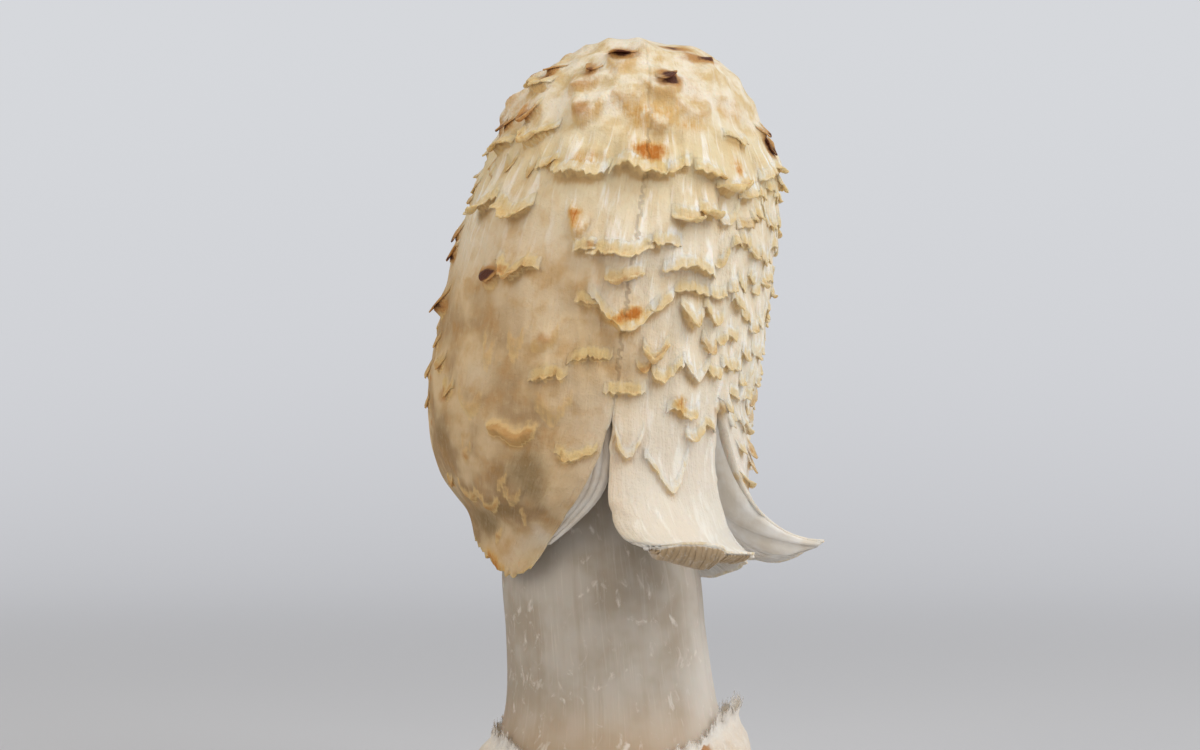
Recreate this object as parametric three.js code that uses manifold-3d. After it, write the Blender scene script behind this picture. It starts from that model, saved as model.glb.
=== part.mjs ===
// A shaggy ink cap, Coprinus comatus, picked by cutting its stem at the base.
// The bell is still tall and closed on its left side, and has torn into lobes on its right side.
// Units are millimetres and +Z is up. The origin is the middle of the cut under the stem.
// The torn lobes open towards -Y and +X.
import * as THREE from 'three';
import { mergeGeometries, mergeVertices } from 'three/addons/utils/BufferGeometryUtils.js';
import Module from 'manifold-3d';

const wasm = await Module();
wasm.setup();

const { clamp, degToRad, lerp, seededRandom, smoothstep } = THREE.MathUtils;

// ---------------------------------------------------------------- driving dimensions

// The leaning middle line that the stem and the cap share: [height, x].
const MIDDLE_LINE = [[0, 0], [18, 0], [38, -1.6], [58, -3], [80, -0.8], [100, 2.4], [118.3, 4]];

// The cap's crown is a quarter of a superellipse, from its widest place up to its top.
const CAP_RADIUS = 24.1;
const WIDEST_HEIGHT = 75;
const CROWN_HEIGHT = 43.3;
const CROWN_POWER = 2.5;

// Below the widest place the skirt hangs down, measured along its skin to the margin.
const SKIRT_LENGTH = 39;
const TEAR_TOP = 0.26; // share of the skirt above the tears
const SHOULDER_SLOPE = 5; // degrees inwards below the widest place
const TUCK_SLOPE = 38; // degrees more where a closed skirt tucks in under itself
const TUCK_PLACE = 0.76; // share of the skirt where it tucks most
const TUCK_SPAN = 0.15;
const BELLY = { bulge: 1, height: 65, span: 11 }; // the closed side is a little fuller

// The flesh of the cap, [share of the skirt, thickness]; -1 is the top and 1 the margin.
const FLESH = [[-1, 3], [-0.5, 2.4], [0, 1.6], [0.5, 1], [1, 0.7]];
const GAP = 0.3; // between pieces that lie against each other

// The lobes that the tears leave, by compass angle in degrees from +X towards +Y.
// flare: how far each lobe stands open, from its left edge to its right edge, 0 to 1.
// reach: extra skirt length in mm, over the same span. lift: slope of the open margin.
// left, right: how an edge swings round as it goes down, how far its tear draws it back at the
// margin, both in degrees, and how sharply. gillLeft, gillRight: the same for gills that have
// torn apart from the flesh. gills: their depth low on the skirt and at gillEnd, where they stop.
const LOBES = [
  { name: 'front', from: 277, to: 318, lift: 121, curl: 2.7,
    flare: [0.62, 0.93, 1, 0.8, 0.8], reach: [-6, -2.5, 0, -2.8, -2.5],
    left: [-3.6, 10.5, 7.9], right: [5.8, 9.5, 3.9],
    gills: [3.8, 2], gillEnd: 0.97, gillLeft: [12, 2, 8] },
  { name: 'right', from: 318, to: 422, lift: 89, curl: 2.17,
    flare: [1, 0.36, 0.43, 0.41, 0.45], reach: [-2.65, -4.1, -2.9, -0.5, -1],
    left: [0, 30, 0.91], right: [0, 4, 1],
    gills: [6.1, 0.5], gillEnd: 0.97 },
  { name: 'back', from: 422, to: 488, lift: 100, curl: 2.2,
    flare: [0.5, 0.55, 0.5, 0.45, 0.4], reach: [-1, 0, 0, -0.5, -1],
    left: [0, 3, 1], right: [0, 4, 1],
    gills: [3.4, 1.5], gillEnd: 0.97 },
  { name: 'left', from: 488, to: 637, lift: 100, curl: 2.2,
    flare: [0.16, 0.1, 0.08, 0.11, 0.1], reach: [-2, -2.5, -5, -7, -5, -1.6, -2.6],
    left: [0, 4, 1], right: [0, 42, 2.07],
    gills: [2.6, 0.7], gillEnd: 0.9, gillRight: [12, 66, 3.4] },
];
const EDGE_OPENING = 0.3; // degrees that every torn edge opens at once

// The gills hang from the flesh in upright ridges round the stem.
const GILL_TOP = -0.56; // where they start, up in the crown
const GILL_DEPTH = 7.2; // down to the tears, and shallower below
const GILLS_LOW = 0.66; // share of the skirt where each lobe's first gill depth is reached
const GILL_VALLEY = 0.45; // share of the depth that the valleys between ridges keep
const GILL_CLEARANCE = 0.5; // to the stem

// The stem: [height, radius], from the flat cut and the swollen base up into the crown.
const STEM = [[0, 16.2], [5, 18.4], [12, 17.6], [20, 15.9], [30, 15.2], [38, 15.05],
  [46, 13.9], [60, 13], [85, 11.4], [105, 8.4], [111, 6.2]];
const STEM_TOP = 114;

// The torn ring lies round the swollen base: [angle, height of its ragged top, how far it
// stands off the stem there].
const RING_TOP = [[0, 20.4, 2.6], [25, 18.4, 1.8], [70, 16.4, 0.6], [125, 17.2, 0.8], [180, 17, 1],
  [212, 15.8, 0.6], [240, 13.2, 0.3], [270, 12.6, 0.2], [300, 14.2, 0.4], [322, 16.4, 1.2],
  [342, 19.6, 2.4], [360, 20.4, 2.6]];
const RING_BOTTOM = 4.6;
const RING_BULGE = 1.7;
const RING_THICKNESS = 0.8;
const RING_CLEARANCE = 0.35;

// The skin breaks up into scales that curl away from the cap at their lower edge.
const SCALE_COUNT = 44;
const SCALE_HEIGHTS = [116.8, 50];
const SCALE_WIDTH = 7.6;
const SCALE_LENGTH = 6.6;
const SCALE_LIFT = 1.7;
const SCALE_THICKNESS = 0.6;
const LOBE_EDGE = 0.03; // share of a lobe that its scales leave bare along each tear
const SCALE_ROOT = 0.5; // how deep the root sits in the flesh
const GOLDEN_ANGLE = 137.5;

// How finely the pieces are divided.
const DEGREES_PER_COLUMN = 7.4;
const DEGREES_PER_GILL = 11.2;
const CROWN_ROWS = 8;
const LOBE_ROWS = 10;
const GILL_CROWN_ROWS = 4;
const SLIVER = 0.02; // faces thinner than this are dropped where scales join the cap
const SLOPE_STEPS = 90;
const STEM_SIDES = 36;
const RING_COLUMNS = 54;

// ---------------------------------------------------------------- shape of the skin

// A smooth curve through [place, value] keys.
function along(keys, place, column = 1) {
  const last = keys.length - 1;
  const slope = (i) => {
    const [before, after] = [keys[Math.max(i - 1, 0)], keys[Math.min(i + 1, last)]];
    return (after[column] - before[column]) / (after[0] - before[0]);
  };
  let i = 0;
  while (i < last - 1 && place > keys[i + 1][0]) i += 1;
  const span = keys[i + 1][0] - keys[i][0];
  const u = clamp((place - keys[i][0]) / span, 0, 1);
  const [u2, u3] = [u * u, u * u * u];
  return (2 * u3 - 3 * u2 + 1) * keys[i][column] + (u3 - 2 * u2 + u) * span * slope(i)
    + (3 * u2 - 2 * u3) * keys[i + 1][column] + (u3 - u2) * span * slope(i + 1);
}

// The same through values spread evenly from 0 to 1.
const spread = (values, share) => along(values.map((v, i) => [i / (values.length - 1), v]), share);

const middleAt = (height) => along(MIDDLE_LINE, height);
const fleshAt = (drop) => along(FLESH, drop);
const stemRadius = (height) => along(STEM, height);

// How far a tear has opened at a drop: 0 down to its top, 1 at the margin.
const tornAt = (drop) => clamp((drop - TEAR_TOP) / (1 - TEAR_TOP), 0, 1);

// The slope of the skin in radians from straight down, positive outwards.
function slopeAt(drop, lobe, flare) {
  const torn = tornAt(drop);
  const tuck = TUCK_SLOPE * Math.exp(-(((drop - TUCK_PLACE) / TUCK_SPAN) ** 2));
  const closed = -SHOULDER_SLOPE * smoothstep(drop, 0, 0.35) - tuck;
  const open = flare * lobe.lift * torn ** lobe.curl;
  return degToRad(closed * (1 - flare * smoothstep(torn, 0, 0.5)) + open);
}

// Radius, height and slope of the skin at a drop: -1 is the top of the crown, 0 the widest
// place and 1 the margin.
function profileAt(lobe, share, drop) {
  if (drop <= 0) {
    const [c, s] = [Math.cos(drop * Math.PI / 2), Math.sin(-drop * Math.PI / 2)];
    const bend = 2 * (CROWN_POWER - 1) / CROWN_POWER;
    return {
      radius: CAP_RADIUS * Math.max(c, 0) ** (2 / CROWN_POWER),
      height: WIDEST_HEIGHT + CROWN_HEIGHT * s ** (2 / CROWN_POWER),
      slope: Math.atan2(s ** bend / CROWN_HEIGHT, Math.max(c, 0) ** bend / CAP_RADIUS),
    };
  }
  const flare = spread(lobe.flare, share);
  const reach = spread(lobe.reach, share);
  const place = { radius: CAP_RADIUS, height: WIDEST_HEIGHT, slope: slopeAt(drop, lobe, flare) };
  for (let step = 0; step < SLOPE_STEPS; step += 1) {
    const [high, low] = [drop * step / SLOPE_STEPS, drop * (step + 1) / SLOPE_STEPS];
    const slope = slopeAt((high + low) / 2, lobe, flare);
    const length = SKIRT_LENGTH * (low - high) + reach * (tornAt(low) - tornAt(high));
    place.radius += Math.sin(slope) * length;
    place.height -= Math.cos(slope) * length;
  }
  return place;
}

// The compass angles of a lobe's two edges at a drop, in degrees, as its tears draw them back.
function edgesAt({ from, to, left, right }, drop) {
  const torn = tornAt(drop);
  const drawnBack = ([, draw, sharpness]) => EDGE_OPENING * Math.sqrt(torn) + draw * torn ** sharpness;
  return [from + left[0] * torn + drawnBack(left), to + right[0] * torn - drawnBack(right)];
}

// The share of a lobe's flesh over a place in its gills, past 0 or 1 where they have torn apart.
function gillShare(lobe, share, drop) {
  const gills = { ...lobe, left: lobe.gillLeft ?? lobe.left, right: lobe.gillRight ?? lobe.right };
  const [from, to] = edgesAt(lobe, drop);
  return (lerp(...edgesAt(gills, drop), share) - from) / (to - from);
}

// A point at a depth under the skin; a negative depth is outside it.
function skinPoint(lobe, share, drop, depth, clearOfStem = false) {
  const { radius, height, slope } = profileAt(lobe, share, drop);
  const angle = degToRad(lerp(...edgesAt(lobe, drop), share));
  const bulge = BELLY.bulge * Math.max(-Math.cos(angle), 0)
    * Math.exp(-(((height - BELLY.height) / BELLY.span) ** 2));
  let out = radius + bulge - depth * Math.cos(slope);
  const z = height - depth * Math.sin(slope);
  if (clearOfStem) out = Math.max(out, stemRadius(z) + GILL_CLEARANCE);
  return new THREE.Vector3(middleAt(height) + out * Math.cos(angle), out * Math.sin(angle), z);
}

// ---------------------------------------------------------------- closed bodies

// A grid of faces over the places (u, v), with u from 0 to 1 across and v from 0 to 1 down.
function grid(place, columns, rows, turned = false) {
  const positions = [];
  for (let row = 0; row <= rows; row += 1) {
    for (let column = 0; column <= columns; column += 1) {
      positions.push(...place(column / columns, row / rows).toArray());
    }
  }
  const faces = [];
  for (let row = 0; row < rows; row += 1) {
    for (let column = 0; column < columns; column += 1) {
      const a = row * (columns + 1) + column;
      const [b, c, d] = [a + 1, a + columns + 2, a + columns + 1];
      faces.push(...(turned ? [a, b, c, a, c, d] : [a, c, b, a, d, c]));
    }
  }
  const geometry = new THREE.BufferGeometry();
  geometry.setAttribute('position', new THREE.Float32BufferAttribute(positions, 3));
  geometry.setIndex(faces);
  return geometry;
}

// A slab between an outer side 0 and an inner side 1, with walls on the named edges.
function slab(place, columns, rows, walls) {
  const parts = [
    grid((u, v) => place(u, v, 0), columns, rows),
    grid((u, v) => place(u, v, 1), columns, rows, true),
  ];
  if (walls.includes('left')) parts.push(grid((u, v) => place(0, v, u), 1, rows, true));
  if (walls.includes('right')) parts.push(grid((u, v) => place(1, v, u), 1, rows));
  if (walls.includes('top')) parts.push(grid((u, v) => place(u, 0, v), columns, 1, true));
  if (walls.includes('bottom')) parts.push(grid((u, v) => place(u, 1, v), columns, 1));
  return parts;
}

// Welds slabs into one body and drops the faces that shrink to nothing at a pole.
function weld(parts) {
  const welded = mergeVertices(mergeGeometries(parts), 1e-4);
  const index = [...welded.index.array];
  const faces = [];
  for (let i = 0; i < index.length; i += 3) {
    const [a, b, c] = index.slice(i, i + 3);
    if (a !== b && b !== c && c !== a) faces.push(a, b, c);
  }
  welded.setIndex(faces);
  return welded;
}

function toSolid(geometry) {
  return new wasm.Manifold(new wasm.Mesh({
    numProp: 3,
    vertProperties: new Float32Array(geometry.attributes.position.array),
    triVerts: new Uint32Array(geometry.index.array),
  }));
}

function toGeometry(solid) {
  const mesh = solid.getMesh();
  const geometry = new THREE.BufferGeometry();
  geometry.setAttribute('position', new THREE.Float32BufferAttribute(mesh.vertProperties, 3));
  geometry.setIndex([...mesh.triVerts]);
  return geometry;
}

// ---------------------------------------------------------------- the pieces

// The cap's flesh, closed over the crown and split by the tears below.
function capFlesh() {
  const parts = LOBES.flatMap((lobe) => {
    const columns = 2 * Math.round((lobe.to - lobe.from) / DEGREES_PER_COLUMN / 2);
    const layer = (from, to) => (u, v, side) => {
      const drop = lerp(from, to, v);
      return skinPoint(lobe, u, drop, side * fleshAt(drop));
    };
    return [
      ...slab(layer(-1, 0), columns, CROWN_ROWS, []),
      ...slab(layer(0, TEAR_TOP), columns, 2, []),
      ...slab(layer(TEAR_TOP, 1), columns, LOBE_ROWS, ['left', 'right', 'bottom']),
    ];
  });
  return toSolid(weld(parts));
}

// The drop at which a lobe's skin reaches a height.
function dropAt(lobe, share, height) {
  let [high, low] = [-1, 1];
  for (let i = 0; i < 20; i += 1) {
    const middle = (high + low) / 2;
    if (profileAt(lobe, share, middle).height > height) high = middle;
    else low = middle;
  }
  return (high + low) / 2;
}

// One scale: a tongue that leaves the skin at its root and curls outwards at its lower edge.
function scaleTongue(angle, height, size) {
  const turn = angle < LOBES[0].from ? angle + 360 : angle;
  const lobe = LOBES.find(({ from, to }) => turn >= from && turn < to);
  const share = (turn - lobe.from) / (lobe.to - lobe.from);
  const root = dropAt(lobe, share, height);
  const tip = dropAt(lobe, share, height - SCALE_LENGTH * size);
  const radius = Math.max(profileAt(lobe, share, (root + tip) / 2).radius, SCALE_WIDTH);
  const width = SCALE_WIDTH * size / radius / degToRad(lobe.to - lobe.from);
  const place = (u, v, side) => {
    const across = 2 * u - 1;
    const narrowing = Math.sqrt(1 - 0.55 * v * v);
    const lift = SCALE_LIFT * size * v * v - SCALE_ROOT * (1 - v);
    const cupped = 0.5 * size * v * across * across;
    const drop = lerp(root, tip, v * (1 - 0.35 * across * across));
    const free = share + across * width / 2 * narrowing;
    const at = tornAt(drop) > 0 ? clamp(free, LOBE_EDGE, 1 - LOBE_EDGE) : free;
    const thickness = SCALE_THICKNESS * lerp(0.5, 1, v) * (1 - side);
    return skinPoint(lobe, at, drop, -thickness - lift - cupped);
  };
  return toSolid(weld(slab(place, 3, 2, ['left', 'right', 'top', 'bottom'])));
}

// Scales in a spiral round the cap, each about as far from the next as it is wide.
function scales() {
  return Array.from({ length: SCALE_COUNT }, (_, i) => {
    const share = (i + 0.5) / SCALE_COUNT;
    const angle = (i * GOLDEN_ANGLE) % 360;
    const height = lerp(...SCALE_HEIGHTS, share);
    return scaleTongue(angle, height, lerp(0.8, 1.15, seededRandom(i + 1)));
  });
}

function capGeometry() {
  const joined = scales().reduce((cap, scale) => cap.add(scale), capFlesh());
  return toGeometry(joined.simplify(SLIVER));
}

// The depth of the gills at a drop.
function gillDepth(lobe, drop) {
  const [low, margin] = lobe.gills;
  return along([[TEAR_TOP, GILL_DEPTH], [GILLS_LOW, low], [1, margin]], drop);
}

// The gills, one ridged sleeve under the flesh, torn along with it.
function gillGeometry() {
  const parts = LOBES.flatMap((lobe) => {
    const columns = 2 * Math.round((lobe.to - lobe.from) / DEGREES_PER_GILL);
    const layer = (from, to) => (u, v, side) => {
      const drop = lerp(from, to, v);
      const ridge = Math.round(u * columns) % 2 ? GILL_VALLEY : 1;
      const depth = fleshAt(drop) + GAP + side * ridge * gillDepth(lobe, drop);
      return skinPoint(lobe, gillShare(lobe, u, drop), drop, depth, side === 1);
    };
    return [
      ...slab(layer(GILL_TOP, TEAR_TOP), columns, GILL_CROWN_ROWS, ['top']),
      ...slab(layer(TEAR_TOP, lobe.gillEnd), columns, LOBE_ROWS, ['left', 'right', 'bottom']),
    ];
  });
  return weld(parts);
}

// The stem, turned on its middle line, with a flat cut below and a rounded end in the crown.
function stemGeometry() {
  const side = [2.5, 5, 8, 12, 16, 20, 25, 30, 36, 40, 44, 50, 60, 74, 88, 98, 105, 111];
  const profile = [
    new THREE.Vector2(0, 0),
    new THREE.Vector2(stemRadius(0), 0),
    ...side.map((height) => new THREE.Vector2(stemRadius(height), height)),
    new THREE.Vector2(0, STEM_TOP),
  ];
  const turned = new THREE.LatheGeometry(profile, STEM_SIDES);
  turned.rotateX(Math.PI / 2);
  turned.deleteAttribute('normal');
  turned.deleteAttribute('uv');
  const positions = turned.attributes.position;
  for (let i = 0; i < positions.count; i += 1) {
    positions.setX(i, positions.getX(i) + middleAt(positions.getZ(i)));
  }
  return weld([turned]);
}

// The ring, a thick torn collar round the swollen base of the stem.
function ringGeometry() {
  const place = (u, v, side) => {
    const degrees = 360 * u;
    const torn = 0.5 * Math.sin(degToRad(degrees * 11)) + 0.35 * Math.sin(degToRad(degrees * 23));
    const top = along(RING_TOP, degrees, 1) + torn;
    const standOff = along(RING_TOP, degrees, 2);
    const height = lerp(top, RING_BOTTOM + 0.8 * Math.sin(degToRad(degrees * 5)), v);
    const bulge = RING_BULGE * Math.sin(Math.PI * clamp(0.12 + 0.8 * v, 0, 1));
    const inner = stemRadius(height) + RING_CLEARANCE + standOff * (1 - v) ** 3;
    const outer = inner + RING_THICKNESS + bulge;
    const radius = side ? inner : outer;
    const angle = degToRad(degrees);
    return new THREE.Vector3(middleAt(height) + radius * Math.cos(angle), radius * Math.sin(angle), height);
  };
  return weld(slab(place, RING_COLUMNS, 6, ['top', 'bottom']));
}

// ---------------------------------------------------------------- the mushroom

function piece(name, geometry, color, roughness) {
  const mesh = new THREE.Mesh(geometry, new THREE.MeshStandardMaterial({ color, roughness, metalness: 0 }));
  mesh.name = name;
  return mesh;
}

const mushroom = new THREE.Group();
mushroom.name = 'shaggy_ink_cap';
mushroom.add(
  piece('cap', capGeometry(), 0xe9dcc6, 0.82),
  piece('gills', gillGeometry(), 0xcbb49a, 0.75),
  piece('stem', stemGeometry(), 0xdcd5cb, 0.6),
  piece('ring', ringGeometry(), 0xdcc9ac, 0.8),
);

export default mushroom;
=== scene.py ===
import math
import bmesh
import bpy
import numpy as np
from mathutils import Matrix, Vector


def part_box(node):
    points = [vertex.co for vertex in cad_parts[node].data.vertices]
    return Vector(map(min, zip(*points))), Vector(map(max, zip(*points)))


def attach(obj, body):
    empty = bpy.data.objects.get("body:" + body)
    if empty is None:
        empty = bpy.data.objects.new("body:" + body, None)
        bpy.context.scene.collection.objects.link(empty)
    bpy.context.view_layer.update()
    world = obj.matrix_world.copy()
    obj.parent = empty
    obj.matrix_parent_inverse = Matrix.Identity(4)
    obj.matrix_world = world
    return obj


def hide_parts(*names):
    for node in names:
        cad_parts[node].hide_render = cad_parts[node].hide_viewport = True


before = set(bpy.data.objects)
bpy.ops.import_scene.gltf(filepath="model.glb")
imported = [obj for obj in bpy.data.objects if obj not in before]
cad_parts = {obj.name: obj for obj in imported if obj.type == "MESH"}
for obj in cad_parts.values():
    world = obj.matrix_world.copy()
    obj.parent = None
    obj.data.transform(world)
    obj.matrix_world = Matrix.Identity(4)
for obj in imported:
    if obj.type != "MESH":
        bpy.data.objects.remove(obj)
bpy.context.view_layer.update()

# ------------------------------------------------------------------ cap
# The bell of a shaggy ink cap is white flesh a few millimetres thick, under a skin of fine
# upright fibres. It grew closed round the stem, and has torn from its margin into four lobes.
# The left one still hangs closed, and the others stand open and curl outwards.

MM = 0.001
CAP_RADIUS = 24.1
CAP_TOP = 118.3
WIDEST_HEIGHT = 75.0
CROWN_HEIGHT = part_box("cap")[1][2] / MM - WIDEST_HEIGHT
CROWN_POWER = 2.5
SKIRT_LENGTH = 39.0
TEAR_TOP = 0.26
SHOULDER_SLOPE, TUCK_SLOPE, TUCK_PLACE, TUCK_SPAN = 5.0, 38.0, 0.76, 0.15
BELLY_BULGE, BELLY_HEIGHT, BELLY_SPAN = 1.0, 65.0, 11.0
EDGE_OPENING = 0.3
MIDDLE_LINE = [(0, 0), (18, 0), (38, -1.6), (58, -3), (80, -0.8), (100, 2.4), (CAP_TOP, 4)]
FLESH = [(-1, 3), (-0.5, 2.4), (0, 1.6), (0.5, 1), (1, 0.45)]
PROFILE_STEPS = 60
DEGREES_EACH = 57.3  # in a radian

# Each lobe: the compass angles where it starts and ends, how steeply it can lift and how sharply it
# curls, how much of that it does from its left edge to its right (flare), its extra length over the
# same span (reach), and how each torn edge swings, draws back and how suddenly. Then its gills: their
# depth above and at the margin, where they end, how tan they are, and edges of their own where they
# have torn apart from the flesh.
LOBES = {
    "front": dict(start=277, end=318, lift=121, curl=2.7, flare=(0.62, 0.93, 1, 0.8, 0.8),
                  reach=(-6, -2.5, 0, -2.8, -2.5), left=(-3.6, 10.5, 7.9), right=(5.8, 9.5, 3.9),
                  gills=(3.8, 1.8), gill_end=0.99, gill_left=(7, 0, 8), gill_fade=0.14, tan=1),
    "right": dict(start=318, end=422, lift=89, curl=2.17, flare=(1, 0.36, 0.43, 0.41, 0.45),
                  reach=(-2.65, -4.1, -2.9, -0.5, -1), left=(0, 30, 0.91), right=(0, 4, 1),
                  gills=(6.1, 1.2), gill_end=0.985, tan=0.12),
    "back": dict(start=422, end=488, lift=100, curl=2.2, flare=(0.5, 0.55, 0.5, 0.45, 0.4),
                 reach=(-1, 0, 0, -0.5, -1), left=(0, 3, 1), right=(0, 4, 1),
                 gills=(3.4, 1.5), gill_end=0.97, tan=0.5),
    "left": dict(start=488, end=637, lift=100, curl=2.2, flare=(0.16, 0.1, 0.08, 0.11, 0.1),
                 reach=(-2, -2.5, -5, -7, -5, -1.6, -2.6), left=(0, 4, 1), right=(0, 42, 2.07),
                 gills=(2.6, 0.7), gill_end=0.9, gill_right=(12, 66, 3.4), bare_gills=17, tan=0.5,
                 teeth=0.6),
}


def along(keys, place):
    """A smooth curve through (place, value) keys."""
    places, values = np.array(keys, float).T
    slopes = np.gradient(values, places, edge_order=1)
    slopes[1:-1] = (values[2:] - values[:-2]) / (places[2:] - places[:-2])
    left = np.clip(np.searchsorted(places, place) - 1, 0, len(places) - 2)
    span = places[left + 1] - places[left]
    u = np.clip((place - places[left]) / span, 0, 1)
    return ((2 * u**3 - 3 * u**2 + 1) * values[left] + (u**3 - 2 * u**2 + u) * span * slopes[left]
            + (3 * u**2 - 2 * u**3) * values[left + 1] + (u**3 - u**2) * span * slopes[left + 1])


def spread(values, share):
    """The same through values spread evenly over a share from 0 to 1."""
    return along(list(zip(np.linspace(0, 1, len(values)), values)), share)


def ease(low, high, value):
    """0 below low, 1 above high and smooth between them."""
    u = np.clip((value - low) / (high - low), 0, 1)
    return u * u * (3 - 2 * u)


SHUFFLED = np.random.default_rng(11).permutation(256)


def lumps(places, size, seed=0):
    """Smooth lumps from -1 to 1, about `size` apart."""
    spot = np.asarray(places, float) / size + 31.7 * seed
    cell = np.floor(spot).astype(int)
    inside = spot - cell
    inside = inside * inside * (3 - 2 * inside)
    total = 0
    for corner in np.ndindex(*(2,) * spot.shape[-1]):
        picked = 0
        for axis, step in enumerate(corner):
            picked = SHUFFLED[(picked + cell[..., axis] + step) & 255]
        weight = np.prod(np.where(corner, inside, 1 - inside), axis=-1)
        total = total + (picked / 127.5 - 1) * weight
    return total


def torn(drop):
    """How far a tear has opened: 0 down to its top, 1 at the margin."""
    return np.clip((drop - TEAR_TOP) / (1 - TEAR_TOP), 0, 1)


def profile(lobe, share, drop):
    """Radius, height and slope of the skin. A drop of -1 is the top, 0 the widest place, 1 the margin."""
    up, down = np.clip(-drop, 0, 1) * math.pi / 2, np.clip(drop, 0, None)
    bend = 2 * (CROWN_POWER - 1) / CROWN_POWER
    radius = CAP_RADIUS * np.cos(up) ** (2 / CROWN_POWER)
    height = WIDEST_HEIGHT + CROWN_HEIGHT * np.sin(up) ** (2 / CROWN_POWER)
    crown_slope = np.arctan2(np.sin(up) ** bend / CROWN_HEIGHT, np.cos(up) ** bend / CAP_RADIUS)
    flare, reach = spread(lobe["flare"], share), spread(lobe["reach"], share)

    def slope_at(place):
        open_by = torn(place)
        tuck = TUCK_SLOPE * np.exp(-(((place - TUCK_PLACE) / TUCK_SPAN) ** 2))
        closed = -SHOULDER_SLOPE * ease(0, 0.35, place) - tuck
        opened = flare * lobe["lift"] * open_by ** lobe["curl"]
        return np.radians(closed * (1 - flare * ease(0, 0.5, open_by)) + opened)

    for step in range(PROFILE_STEPS):
        high, low = down * step / PROFILE_STEPS, down * (step + 1) / PROFILE_STEPS
        slope = slope_at((high + low) / 2)
        length = SKIRT_LENGTH * (low - high) + reach * (torn(low) - torn(high))
        radius = radius + np.sin(slope) * length
        height = height - np.cos(slope) * length
    return radius, height, np.where(drop > 0, slope_at(down), crown_slope)


def edges_of(lobe, drop, left, right, fray=0.5):
    """Compass angles of a lobe's two edges, drawn back and frayed by the tears."""
    open_by = torn(drop)
    fray = fray * ease(0, 0.2, open_by)
    edges = []
    for start, side, (swing, draw, sharpness) in ((lobe["start"], 1, left), (lobe["end"], -1, right)):
        ragged = lumps(np.stack([drop * SKIRT_LENGTH, 0 * drop + start], -1), 1.7)
        edges.append(start + swing * open_by
                     + side * (EDGE_OPENING * open_by**0.5 + draw * open_by**sharpness)
                     + side * fray * (ragged + 0.6))
    return edges


def angle_of(lobe, share, drop):
    """Compass angle of a lobe's skin at a share of its width."""
    left, right = edges_of(lobe, drop, lobe["left"], lobe["right"])
    return np.radians(left + (right - left) * share)


def skin(lobe, share, drop, out=0.0):
    """A point of the cap's skin in millimetres, or at a distance out from it."""
    share, drop, out = np.broadcast_arrays(*(np.asarray(x, float) for x in (share, drop, out)))
    radius, height, slope = profile(lobe, share, drop)
    angle = angle_of(lobe, share, drop)
    belly = BELLY_BULGE * np.clip(-np.cos(angle), 0, 1)
    belly = belly * np.exp(-(((height - BELLY_HEIGHT) / BELLY_SPAN) ** 2))
    away = radius + belly + out * np.cos(slope)
    return np.stack([along(MIDDLE_LINE, height) + away * np.cos(angle), away * np.sin(angle),
                     height + out * np.sin(slope)], -1)


# How far each drop lies from the widest place along the skin, in millimetres.
DROPS = np.linspace(-1, 1, 801)
crown_line = np.stack(profile(LOBES["left"], 0.5 + 0 * DROPS, np.minimum(DROPS, 0))[:2], -1)
crown_steps = np.linalg.norm(np.diff(crown_line, axis=0), axis=1)
DISTANCES = np.append(-np.cumsum(crown_steps[::-1])[::-1], 0)
DISTANCES = DISTANCES - DISTANCES[len(DROPS) // 2] + np.maximum(DROPS, 0) * SKIRT_LENGTH


def drop_at(distance):
    """The drop at a distance down the skin from the widest place."""
    return np.interp(distance, DISTANCES, DROPS)


def drop_at_height(lobe, share, height):
    """The drop where a lobe's skin first comes down to a height."""
    heights = profile(lobe, np.full_like(DROPS, share), DROPS)[1]
    lowest = np.argmin(heights)
    return np.interp(-height, -heights[:lowest + 1], DROPS[:lowest + 1])


def lobe_at(angle):
    """The lobe at a compass angle, and the share of its width there."""
    turned = angle if angle >= LOBES["front"]["start"] else angle + 360
    for name, lobe in LOBES.items():
        if lobe["start"] <= turned < lobe["end"]:
            return name, (turned - lobe["start"]) / (lobe["end"] - lobe["start"])


def smooth_mesh(name, points, faces, marks=()):
    """A smooth mesh from points in millimetres, with its marks by name for each point."""
    mesh = bpy.data.meshes.new(name)
    mesh.from_pydata((points * MM).tolist(), [], faces)
    mesh.polygons.foreach_set("use_smooth", np.ones(len(faces), bool))
    for key in marks:
        kind = ("FLOAT_COLOR", "color") if marks[key].shape[1] == 4 else ("FLOAT_VECTOR", "vector")
        mesh.attributes.new(key, kind[0], "POINT").data.foreach_set(kind[1], marks[key].ravel())
    return mesh


def piece_of(mesh, material):
    """A mesh placed in the scene, in its one material."""
    piece = bpy.data.objects.new(mesh.name, mesh)
    piece.data.materials.append(material)
    bpy.context.collection.objects.link(piece)
    return piece


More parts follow.
